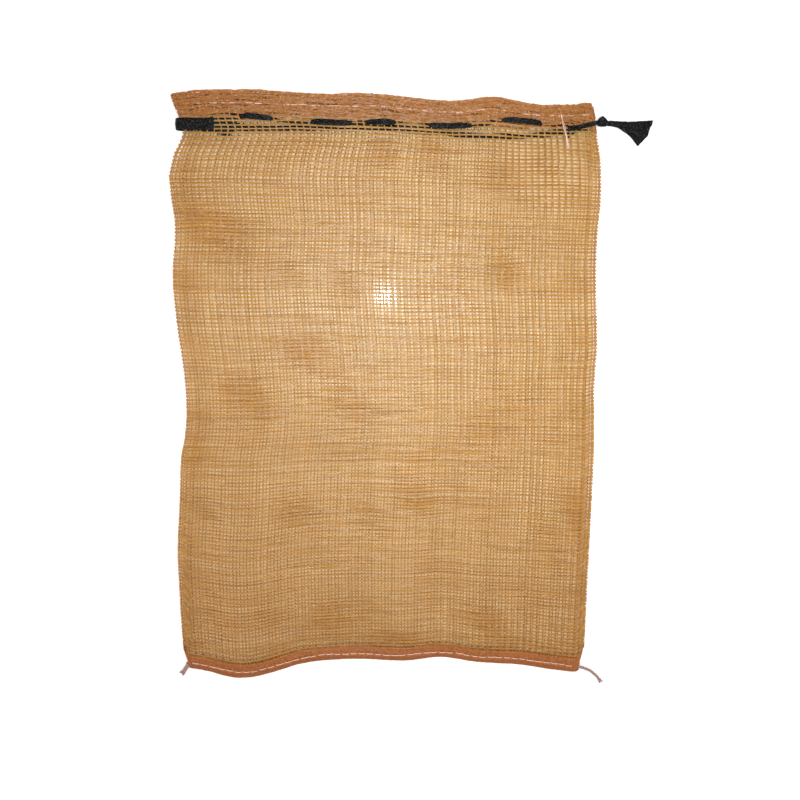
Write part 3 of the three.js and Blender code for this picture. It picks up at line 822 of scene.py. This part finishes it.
def net_warps(form, net, face, seed, shares, rng):
    """Warp pairs: a ground tape under the wefts and a tape that crosses it from pick to pick."""
    offset = 0.5 if face > 0 else 0.0
    pairs = net.warp_pairs + (0 if face > 0 else 1)
    stand = (np.arange(pairs) + offset) / net.warp_pairs
    stand = np.clip(stand, 0.004, 0.996)
    metres = stand[:, None] * NET_WIDE
    picks = np.repeat(shares, 2)[:-1].copy()
    picks[1::2] = (shares[:-1] + shares[1:]) / 2
    lengths = picks * form.length
    waver = 0.2 * MM * waves(seed + 21, metres * 3, lengths[None], 0.05, 0.09) / NET_WIDE
    if face < 0:
        waver = waver + BACK_WIDENED * (stand[:, None] - BACK_CENTRE[0])
        side = ramp_up(stand[:, None], *ABREAST_SIDES[:2]) * (1 - ramp_up(stand[:, None], *ABREAST_SIDES[2:]))
        waver = waver - ABREAST * side * ramp_up(picks[None], *ABREAST_UP)
    row_wander = weft_wander(net, metres, lengths[None], seed) / form.length
    share = picks[None] + row_wander
    if face < 0:
        share = drawn_out(share)
    at_pick = np.arange(len(picks)) % 2 == 0
    turn = np.where(np.arange(len(picks)) % 4 == 0, 1.0, -1.0)
    swing = np.where(at_pick, turn, 0.0)[None] * net.warp_swing / NET_WIDE
    flip = np.where(rng.random((pairs, 1)) < 0.5, -1.0, 1.0)
    spot = np.clip(stand[:, None] + waver, 0.003, 0.997)
    crossing = form.place(spot + swing * flip, share, face, net.wall_depth)
    crossing[..., 2] += face * np.where(at_pick, CROSSING_OVER, -CROSSING_DIP)[None]
    ground = form.place(spot[:, ::2] - 0.6 * (swing * flip)[:, ::2], share[:, ::2], face, net.wall_depth)
    ground[..., 2] -= face * GROUND_UNDER
    wide = net.warp_width * np.clip(1 + rng.normal(0, 0.13, (pairs, 1)), 0.7, 1.4)
    crossing_roll = 0.25 * waves(seed + 22, metres, lengths[None], 0.01, 0.02)
    parts = [
        strand_mesh(f"net_{face}_crossing", crossing, wide, net.warp_thick, (1, 0, 0), FLAT, crossing_roll),
        strand_mesh(f"net_{face}_ground", ground, wide, net.warp_thick, (1, 0, 0), FLAT),
    ]
    return joined(f"net_{'front' if face > 0 else 'back'}_warps", parts)


def joined(name, parts):
    """Joins pieces into one."""
    with bpy.context.temp_override(
        active_object=parts[0], selected_objects=parts, selected_editable_objects=parts
    ):
        bpy.ops.object.join()
    parts[0].name = name
    parts[0].data.name = name
    return parts[0]


def hem_layer(name, form, net, face, rows, low, high, depth, seed, unrest=1.0):
    """The wefts of one layer of a hem between two shares. unrest is how much they stray and twist."""
    rng = np.random.default_rng(seed)
    shares = np.linspace(low, high, rows) + rng.normal(0, 0.3 * MM, rows) * unrest / form.length
    across = weft_crossings(220, 5)
    metres = across[None] * NET_WIDE
    stray = 0.6 * waves(seed + 1, metres, shares[:, None] * 8, 0.035, 0.03)
    stray = stray + 0.35 * waves(seed + 4, metres, shares[:, None] * 30, 0.009, 0.03)
    share = shares[:, None] + stray * unrest * MM / form.length
    share = np.minimum(share, 1 - 0.2 * MM / form.length)
    centres = form.place(across[None], share, face, depth)
    wide = net.weft_width * (1.05 + 0.3 * waves(seed + 2, metres, shares[:, None] * 24, 0.005, 0.03))
    wide = np.clip(wide, 0.6 * net.weft_width, 1.7 * net.weft_width)
    roll = 0.3 * unrest * waves(seed + 3, metres, shares[:, None] * 36, 0.0035, 0.03)
    return strand_mesh(name, centres, wide, net.weft_thick, (0, 1, 0), TAPE, roll)


def hem_warps(name, form, net, face, offset, shares, depths, past, seed):
    """Warp pairs of a hem on one wall. shares and depths say where each pick lies, so a pair can turn
    round an edge into the next layer, and past says how far beyond its place a loop stands."""
    rng = np.random.default_rng(seed)
    pairs = net.warp_pairs
    stand = np.clip((np.arange(pairs) + offset) / pairs, 0.007, 0.993)[:, None]
    metres = stand * NET_WIDE
    run = np.arange(len(shares))[None] * 2.0 * MM
    waver = 0.8 * MM * waves(seed + 1, metres * 9, run, 0.05, 0.02) / NET_WIDE
    swing = np.where(run / (2 * MM) % 4 == 0, 1.0, np.where(run / (2 * MM) % 4 == 2, -1.0, 0.0))
    jagged = rng.uniform(0.2, 1.0, (pairs, 1))
    parts = []
    for strand, side in (("crossing", 1.0), ("ground", -0.4)):
        spot = stand + waver + side * swing * net.warp_swing / NET_WIDE
        line = form.place(spot, shares[None], face, depths)
        line[..., 1] += past[None] * jagged
        line[..., 2] += side * face * 0.28 * MM * np.where(swing == 0, -0.6, 1.0)
        wide = net.warp_width * np.clip(1 + rng.normal(0, 0.15, (pairs, 1)), 0.7, 1.4)
        parts.append(strand_mesh(f"{name}_{strand}", line, wide, net.warp_thick, (1, 0, 0), FLAT))
    return parts


def mouth_hem(form, net, hems, face, seed):
    """The net turned in at the mouth on one wall: two layers, with the warps' loops along the edge."""
    wall = "front" if face > 0 else "back"
    start = 1 - (hems.mouth_height - 2.2 * MM) / form.length
    edge = 1 - 0.4 * MM / form.length
    outer, inner = net.wall_depth, net.wall_depth + MOUTH_LAYERS
    parts = []
    for layer, low, depth, own_seed in (
        ("outer", start, outer, seed),
        ("inner", start + 1.2 * MM / form.length, inner, seed + 30),
    ):
        name = f"mouth_{wall}_{layer}"
        rows = hems.mouth_rows
        parts.append(hem_layer(name, form, net, face, rows, low, edge, depth, own_seed, MOUTH_UNREST))
    steps = hems.mouth_rows * 2
    up = np.linspace(start, edge, steps)
    shares = np.concatenate([up, [edge, edge], up[::-1][: steps - 1]])
    bend = [outer + 0.2 * MM, inner - 0.2 * MM]
    depths = np.concatenate([np.full(steps, outer), bend, np.full(steps - 1, inner)])
    past = np.concatenate([np.zeros(steps), [0.8, 0.8], np.zeros(steps - 1)]) * hems.loop_reach
    offset = 0.5 if face > 0 else 0.04
    parts += hem_warps(f"mouth_{wall}", form, net, face, offset, shares, depths, past, seed + 60)
    return joined(f"mouth_hem_{wall}", parts)


def bottom_hem(form, net, hems):
    """The net folded up at the bottom: two layers on each wall, which fade out into the net above."""
    top = hems.bottom_height / form.length
    edge = (hems.roll_height - ROLL_TUCK) / form.length
    rows = hems.bottom_rows
    parts = []
    for face in (1, -1):
        for layer in (0, 1):
            parts.append(
                hem_layer(
                    f"bottom_{face}_{layer}", form, net, face, rows, edge, top,
                    net.wall_depth + layer * BOTTOM_LAYERS, 300 + 10 * layer + 5 * face,
                )
            )
    depths = np.full(rows * 2, net.wall_depth)
    for face in (1, -1):
        for offset, reach in BOTTOM_WARPS:
            seed = 360 + round(8 * offset) + 20 * face
            shares = np.linspace(top + reach * MM / form.length, edge, rows * 2)
            parts += hem_warps("bottom", form, net, face, offset, shares, depths, 0 * shares, seed)
    return joined("bottom_hem_net", parts)


def hem_roll(form, hems):
    """The net rolled in on itself along the lower edge, under the stitches."""
    across = np.linspace(0.008, 0.992, 150)
    middle = hems.roll_height / 2 / form.length
    share = np.full(150, middle)
    front = form.place(across, share, 1, 0.6 * MM)
    back = form.place(across, share, -1, 0.6 * MM)
    centres = ((front + back) / 2)[None]
    metres = across * NET_WIDE
    wide = (hems.roll_height - 1.2 * MM) * (1 + 0.03 * waves(41, metres, 0 * metres, 0.02, 1))
    thick = (front - back)[:, 2] - 0.2 * MM
    angles, ring = circle(16)
    ring = np.sign(ring) * np.abs(ring) ** 0.65
    ribs = 1 + 0.035 * waves(43, metres[:, None], angles[None] * 0.01, 0.0022, 0.02)
    sections = ring[None, None] * ribs[None, ..., None]
    return strand_mesh("bottom_hem_roll", centres, wide, thick, (0, 1, 0), sections)


def tape_run(tree, xs, way):
    """The drawstring's front run (way 1) or back run (way -1): middle, width and thickness at each x."""
    low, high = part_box("drawstring_tape")
    middle = (low.z + high.z) / 2 - 1.2 * MM
    ys = np.arange(low.y - 0.3 * MM, high.y + 0.3 * MM, 0.5 * MM)
    rows = []
    for x in xs:
        faced = []
        for y in ys:
            outer = tree.ray_cast(Vector((x, y, way * 0.1)), Vector((0, 0, -way)))[0]
            if outer and (outer.z - middle) * way > 0:
                faced.append((y, outer.z))
        if len(faced) > 1:
            faced = np.array(faced)
            rows.append((faced[:, 0].min(), faced[:, 0].max(), np.median(faced[:, 1])))
        else:
            rows.append((math.nan,) * 3)
    rows = np.array(rows)
    good = ~np.isnan(rows[:, 0])
    low_y, high_y, face = (np.interp(xs, xs[good], rows[good, column]) for column in range(3))
    return (low_y + high_y) / 2, high_y - low_y, face


def film_tape(tape):
    """The drawstring: gathered film along the front, round the left fold and back inside the back wall."""
    low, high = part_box("drawstring_tape")
    tree = solid_tree("drawstring_tape")
    xs = np.linspace(low.x + FILM_TURN, high.x - 0.8 * MM, 210)
    front_y, front_wide, front_z = tape_run(tree, xs, 1)
    back_y, back_wide, back_z = tape_run(tree, xs, -1)
    thick = tape.film_gathered
    steepness = np.convolve(np.abs(np.gradient(front_z)), (0.4, 1.0, 0.4), "same")
    pinched = ramp_up(xs, low.x + PINCH_FROM[0], low.x + PINCH_FROM[1])
    front_wide = front_wide * (1 - PINCH * (np.clip(steepness / (2.0 * MM), 0, 1) * pinched))
    out = ramp_up(xs, high.x - FILM_OUT_FROM[0], high.x - FILM_OUT_FROM[1])
    front_z, back_z = front_z - thick / 2 + out * FILM_OUT, back_z + thick / 2
    front_wide = front_wide + out * (np.minimum(front_wide, FILM_OUT_WIDE) - front_wide)
    reach = (front_z[0] - back_z[0]) / 2
    level = (front_z[0] + back_z[0]) / 2
    turn = np.linspace(math.pi / 2, -math.pi / 2, 9)[1:-1]
    outer = low.x + thick / 2 + 0.3 * MM
    turn_x = xs[0] - (xs[0] - outer) * np.cos(turn)
    turn_z = level + reach * np.sin(turn)
    share = np.linspace(0, 1, 9)[1:-1]
    turn_y = front_y[0] + (back_y[0] - front_y[0]) * share
    turn_wide = front_wide[0] + (back_wide[0] - front_wide[0]) * share
    centres = np.concatenate(
        [
            np.stack([xs[::-1], front_y[::-1], front_z[::-1]], axis=-1),
            np.stack([turn_x, turn_y, turn_z], axis=-1),
            np.stack([xs, back_y, back_z], axis=-1),
        ]
    )
    wide = np.concatenate([front_wide[::-1], turn_wide, back_wide])
    along = np.concatenate([[0], np.cumsum(np.linalg.norm(np.diff(centres, axis=0), axis=1))])
    ring = circle(22)[1]
    # Pleats differ across the tape and between its two faces.
    beside = ring[None, :, 0] * 0.5 + (ring[None, :, 1] > 0) * 3
    pleats = waves(51, along[:, None], beside, 0.03, 0.09)
    fine = waves(52, along[:, None], beside, 0.006, 0.05)
    swell = 1 + 0.35 * pleats + 0.25 * fine
    edges = 1 + 0.05 * waves(53, along[:, None], ring[None, :, 0], 0.01, 1)
    sections = np.stack([ring[None, :, 0] * edges, ring[None, :, 1] * swell], axis=-1)
    return strand_mesh("drawstring_film", centres[None], wide, thick, (0, 1, 0), sections[None])


def spread_film(form, name, across, share, long, wide, seed):
    """A stretch of the film that lies spread out flat under the front net, round this place."""
    step = np.linspace(-0.995, 0.995, 25)
    crosses = across + step * long / 2 / NET_WIDE
    centres = form.place(crosses, share + 0 * step, 1, FILM_UNDER)
    widths = wide * np.sqrt(1 - step**2) * (1 + 0.08 * waves(seed, step, 0 * step, 0.4, 1))
    angles, ring = circle(16)
    creases = 1 + 0.3 * waves(seed + 1, step[:, None], angles[None], 0.3, 0.5)
    sections = ring[None, None] * np.stack([1 + 0 * creases, creases], axis=-1)[None]
    return strand_mesh(name, centres[None], widths, 0.5 * MM, (0, 1, 0), sections)


def crumpled(node, name, voxel, crease, seed, peak=0.0):
    """A copy of a solid, as crumpled film: closely meshed, with creases that fan out from its left end.
    peak draws its far side out to a point and its ends to what lies beside it."""
    copy = put_in(f"{name}_copy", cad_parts[node].data.copy())
    mesher = copy.modifiers.new("mesher", "REMESH")
    mesher.mode = "VOXEL"
    mesher.voxel_size = voxel
    mesh = bpy.data.meshes.new_from_object(copy.evaluated_get(bpy.context.evaluated_depsgraph_get()))
    bpy.data.objects.remove(copy)
    spots = np.zeros(len(mesh.vertices) * 3)
    mesh.vertices.foreach_get("co", spots)
    spots = spots.reshape(-1, 3)
    facing = np.zeros(len(mesh.vertices) * 3)
    mesh.vertices.foreach_get("normal", facing)
    facing = facing.reshape(-1, 3)
    low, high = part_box(node)
    start = Vector((low.x - 14 * MM, (low.y + high.y) / 2 + 4 * MM, 0))
    turn = np.arctan2(spots[:, 1] - start.y, spots[:, 0] - start.x)
    out = np.hypot(spots[:, 0] - start.x, spots[:, 1] - start.y)
    if peak:
        middle_x, middle_y = (low.x + high.x) / 2, (low.y + high.y) / 2
        aside = np.abs(spots[:, 0] - middle_x) / ((high.x - low.x) / 2)
        stretch = np.where(spots[:, 1] > middle_y, 1 + peak * (0.8 - aside), 0.8)
        spots[:, 0] = middle_x + (spots[:, 0] - middle_x) * 1.3
        spots[:, 1] = middle_y + (spots[:, 1] - middle_y) * stretch
    fan = 0.7 * waves(seed, turn, out * 8, 0.09, 1.0)
    fine = 0.5 * waves(seed + 1, spots[:, 0], spots[:, 1], 0.004, 0.004)
    spots += facing * (crease * (fan + fine))[:, None]
    mesh.vertices.foreach_set("co", spots.reshape(-1))
    mesh.materials.clear()
    mesh.polygons.foreach_set("use_smooth", np.ones(len(mesh.polygons), bool))
    mesh.update()
    return put_in(name, mesh)


def stitch_starts(sewing):
    """Where the stitches of a line begin, as shares across the sack."""
    start, end = STITCHED
    count = int((end - start) * NET_WIDE / sewing.stitch_pitch)
    return start + (end - start) * np.arange(count) / count


def chain_dashes(name, form, height, sewing, lift, seed, from_mouth=False):
    """The straight stitches that show on a hem's front, height from its edge and lift over the wall."""
    rng = np.random.default_rng(seed)
    begins = stitch_starts(sewing)
    count = len(begins)
    step = np.linspace(0, 1, 9)
    long = sewing.stitch_shown / NET_WIDE * rng.uniform(0.85, 1.15, (count, 1))
    across = begins[:, None] + long * step[None]
    metres = across * NET_WIDE
    wander = 0.5 * MM * waves(seed + 1, metres, 0 * metres, 0.03, 1) + rng.normal(0, 0.2 * MM, (count, 1))
    line = height + wander
    share = 1 - line / form.length if from_mouth else line / form.length
    centres = form.place(across, share, 1, 0.0)
    arch = np.sin(np.pi * step) ** 0.5
    centres[..., 2] += lift * arch - 0.9 * MM * (1 - arch)
    return strand_mesh(name, centres, sewing.yarn_width, sewing.yarn_width * 0.8, (0, 1, 0), ROUND)


def chain_loops(name, form, height, sewing):
    """The interlocked loops of a chain stitch on a hem's back: two strands that part and meet."""
    begins = stitch_starts(sewing)
    step = np.linspace(0, 1, 9)
    parts = []
    for side in (1, -1):
        across = begins[:, None] + 1.12 * sewing.stitch_pitch / NET_WIDE * step[None]
        swell = side * 0.55 * MM * np.sin(np.pi * step)[None] ** 0.7
        centres = form.place(across, (height + swell + 0 * across) / form.length, -1, 0.35 * MM)
        parts.append(strand_mesh(f"{name}_{side}", centres, 0.55 * MM, 0.45 * MM, (0, 1, 0), ROUND))
    return joined(name, parts)


def tacking(name, form):
    """The thread that tacks the mouth hem down near the knot: a few long strands side by side."""
    step = np.linspace(0, 1, 30)[None]
    strand = np.arange(3)[:, None]
    stray = 0.0012 * (strand - 1) + 0.0012 * waves(95, step + 0.3 * strand, strand, 0.25, 1)
    across = TACKING[0][0] + (TACKING[1][0] - TACKING[0][0]) * step + stray
    share = TACKING[0][1] + (TACKING[1][1] - TACKING[0][1]) * step + 0 * stray
    depth = -0.25 * MM + 0.45 * MM * waves(96, step * 9, strand, 1.0, 1)
    centres = form.place(across, share, 1, depth)
    return strand_mesh(name, centres, 0.5 * MM, 0.4 * MM, (1, 0, 0), ROUND)


def twisted_yarn(name, line, thick, pitch):
    """Three plies twisted round a line of points, in millimetres, whose end is frayed."""
    line = np.array(line) * MM + (NET_CORNER.x, NET_CORNER.y, 0)
    along = np.concatenate([[0], np.cumsum(np.linalg.norm(np.diff(line, axis=0), axis=1))])
    even = np.linspace(0, along[-1], 60)
    middle = np.stack([np.interp(even, along, line[:, axis]) for axis in range(3)], axis=-1)
    for _ in range(6):
        middle[1:-1] = (middle[:-2] + middle[1:-1] * 2 + middle[2:]) / 4
    tangent = np.gradient(middle, axis=0)
    tangent /= np.linalg.norm(tangent, axis=1, keepdims=True)
    side = np.cross(tangent, (0, 0, 1))
    side /= np.linalg.norm(side, axis=1, keepdims=True)
    above = np.cross(side, tangent)
    plies = []
    for ply in range(3):
        turn = 2 * math.pi * (even / pitch + ply / 3)
        spread = thick * 0.3 * (1 + 1.2 * np.clip((even / even[-1] - 0.85) / 0.15, 0, 1))
        round_it = np.cos(turn)[:, None] * side + 0.8 * np.sin(turn)[:, None] * above
        plies.append(middle + spread[:, None] * round_it)
    return strand_mesh(name, np.array(plies), thick * 0.7, thick * 0.55, (0, 0, 1), ROUND)


class SACK_OT_hems(bpy.types.Operator):
    """Makes the mouth hem and the bottom hem"""

    bl_idname = "sack.hems"
    bl_label = "Hems"

    def execute(self, context):
        net, hems, colours = context.scene.sack_net, context.scene.sack_hems, context.scene.sack_colours
        form = sack_form()
        # Painted shade: each hem's tape is the warp colour darkened and deepened towards red, for light that
        # passes two to four layers of tape in a hem.
        mouth_shaded_colour = scaled(colours.warp, 0.98, 0.8, 0.62)
        bottom_shaded_colour = scaled(colours.warp, 1.08, 0.76, 0.56)
        rolled_shaded_colour = scaled(colours.warp, 0.84, 0.56, 0.4)
        mouth = tape_material("drawn polyolefin tape, mouth hem", mouth_shaded_colour, 1.8, 1.8, 1.2, 0.5)
        bottom = tape_material("drawn polyolefin tape, bottom hem", bottom_shaded_colour, 2.0, 3.0, 1.3, 0.15)
        for face, seed in ((1, 205), (-1, 255)):
            piece = mouth_hem(form, net, hems, face, seed)
            dress(piece, "hem", mouth, "mouth_hem")
        piece = bottom_hem(form, net, hems)
        dress(piece, "hem", bottom, "bottom_hem")
        rolled = tape_material("drawn polyolefin tape, rolled hem", rolled_shaded_colour, 2.5, 2.5, 0.9, 0.1)
        roll = dress(hem_roll(form, hems), "hem", rolled, "bottom_hem")
        return {"FINISHED"}


class SACK_OT_drawstring(bpy.types.Operator):
    """Makes the film drawstring with its knot and tail"""

    bl_idname = "sack.drawstring"
    bl_label = "Drawstring"

    def execute(self, context):
        tape, colours = context.scene.sack_tape, context.scene.sack_colours
        form = sack_form()
        film = film_material("blown LDPE film", colours.film)
        dress(film_tape(tape), "film", film, "drawstring_tape")
        for spread in SPREADS:
            dress(spread_film(form, *spread), "film", film, "drawstring_tape")
        knot = crumpled("drawstring_knot", "drawstring_knot_film", 0.5 * MM, 0.3 * MM, 71, 1.0)
        dress(knot, "film", film, "drawstring_knot")
        tail = crumpled("drawstring_tail", "drawstring_tail_film", 0.4 * MM, 0.3 * MM, 75)
        dress(tail, "film", film, "drawstring_tail")
        return {"FINISHED"}


class SACK_OT_stitching(bpy.types.Operator):
    """Makes the chain stitches, their yarn ends and the tacking thread"""

    bl_idname = "sack.stitching"
    bl_label = "Stitching"

    def execute(self, context):
        sewing, colours = context.scene.sack_sewing, context.scene.sack_colours
        form = sack_form()
        yarn = yarn_material("spun polyester sewing yarn", colours.yarn)
        top = chain_dashes("bottom_stitches", form, sewing.bottom_line, sewing, 0.3 * MM, 81)
        loops = chain_loops("bottom_chain", form, sewing.bottom_line, sewing)
        dress(top, "yarn", yarn)
        dress(loops, "yarn", yarn)
        mouth = chain_dashes("mouth_stitches", form, sewing.mouth_line, sewing, -0.85 * MM, 91, True)
        dress(mouth, "yarn", yarn)
        handled = yarn_material("spun polyester sewing yarn, handled", colours.yarn_end)
        left = twisted_yarn("yarn_end_left", YARN_LEFT, 3.9 * MM, 9 * MM)
        right = twisted_yarn("yarn_end_right", YARN_RIGHT, 2.7 * MM, 12 * MM)
        dress(left, "yarn", handled, "stitch_end_left")
        dress(right, "yarn", handled, "stitch_end_right")
        dress(tacking("tacking_thread", form), "yarn", yarn)
        return {"FINISHED"}


class SACK_OT_net(bpy.types.Operator):
    """Makes the leno net of both walls"""

    bl_idname = "sack.net"
    bl_label = "Net walls"

    def execute(self, context):
        net, colours = context.scene.sack_net, context.scene.sack_colours
        form = sack_form()
        weft = tape_material("drawn polyolefin weft tape", colours.weft, 45, 3.2)
        warp = tape_material("drawn polyolefin warp tape", colours.warp, 6, 60)
        for face, seed in ((1, 5), (-1, 9)):
            wefts, warps = net_wall(form, net, face, seed)
            dress(wefts, "net", weft, "net_body")
            dress(warps, "net", warp, "net_body")
        return {"FINISHED"}


class SACK_OT_stage(bpy.types.Operator):
    """Makes the floor, the lights and the camera"""

    bl_idname = "sack.stage"
    bl_label = "Stage"

    def execute(self, context):
        stage = context.scene.sack_stage
        scene = context.scene
        lens = bpy.data.cameras.new("camera")
        lens.lens = stage.lens
        lens.sensor_width = 36
        lens.clip_start = 0.01
        camera = put_in("camera", lens)
        look = CAMERA_LOOK.normalized()
        up = CAMERA_RIGHT.cross(look).normalized()
        right = look.cross(up)
        turn = Matrix((right, up, -look)).transposed().to_4x4()
        camera.matrix_world = Matrix.Translation(NET_CORNER + CAMERA_PLACE) @ turn
        scene.camera = camera

        floor = card_floor(sack_form())
        floor.data.materials.append(card_material("coated white card", linear("#F4F4F4"), 0.22))
        # Painted shade: within the outline the card is cream, for the warm, dimmer light that reaches it
        # through the net.
        floor.data.materials.append(card_material("coated card, the net's shadow painted on", linear("#F2E0B6"), 0.0))

        spot_lamp("ceiling_lamp", stage.lamp_power, 9.5 * MM, LAMP_PLACE)
        spot_lamp("ceiling_shade", stage.shade_power, 220 * MM, SHADE_PLACE)

        world = bpy.data.worlds.new("room")
        world.use_nodes = True
        sky = world.node_tree.nodes["Background"]
        sky.inputs["Color"].default_value = ROOM_COLOUR
        sky.inputs["Strength"].default_value = stage.sky
        scene.world = world
        scene.view_settings.view_transform = "Standard"
        return {"FINISHED"}


class SACK_PT_panel(bpy.types.Panel):
    """Lists the sack's groups of pieces and their sizes and colours"""

    bl_idname = "SACK_PT_panel"
    bl_label = "Mesh Sack"
    bl_space_type = "VIEW_3D"
    bl_region_type = "UI"
    bl_category = "Sack"

    def draw(self, context):
        for maker in OPERATORS:
            self.layout.operator(maker.bl_idname)
        for group in SETTINGS:
            settings = getattr(context.scene, group)
            for name in settings.bl_rna.properties.keys():
                if name not in ("rna_type", "name"):
                    self.layout.prop(settings, name)


SETTINGS = {
    "sack_net": NetSettings,
    "sack_hems": HemSettings,
    "sack_tape": TapeSettings,
    "sack_sewing": SewingSettings,
    "sack_colours": ColourSettings,
    "sack_stage": StageSettings,
}
OPERATORS = (SACK_OT_stage, SACK_OT_net, SACK_OT_hems, SACK_OT_drawstring, SACK_OT_stitching)


def register():
    """Makes the sack's settings, its operators and the panel known to Blender."""
    for owner in (*SETTINGS.values(), *OPERATORS, SACK_PT_panel):
        bpy.utils.register_class(owner)
    for name, owner in SETTINGS.items():
        setattr(bpy.types.Scene, name, bpy.props.PointerProperty(type=owner))


def unregister():
    """Takes them out again."""
    for name in SETTINGS:
        delattr(bpy.types.Scene, name)
    for owner in reversed((*SETTINGS.values(), *OPERATORS, SACK_PT_panel)):
        bpy.utils.unregister_class(owner)


def main():
    """Builds the stage and the sack."""
    register()
    bpy.ops.sack.stage()
    bpy.ops.sack.net()
    bpy.ops.sack.hems()
    bpy.ops.sack.drawstring()
    bpy.ops.sack.stitching()


if __name__ == "__main__":
    main()
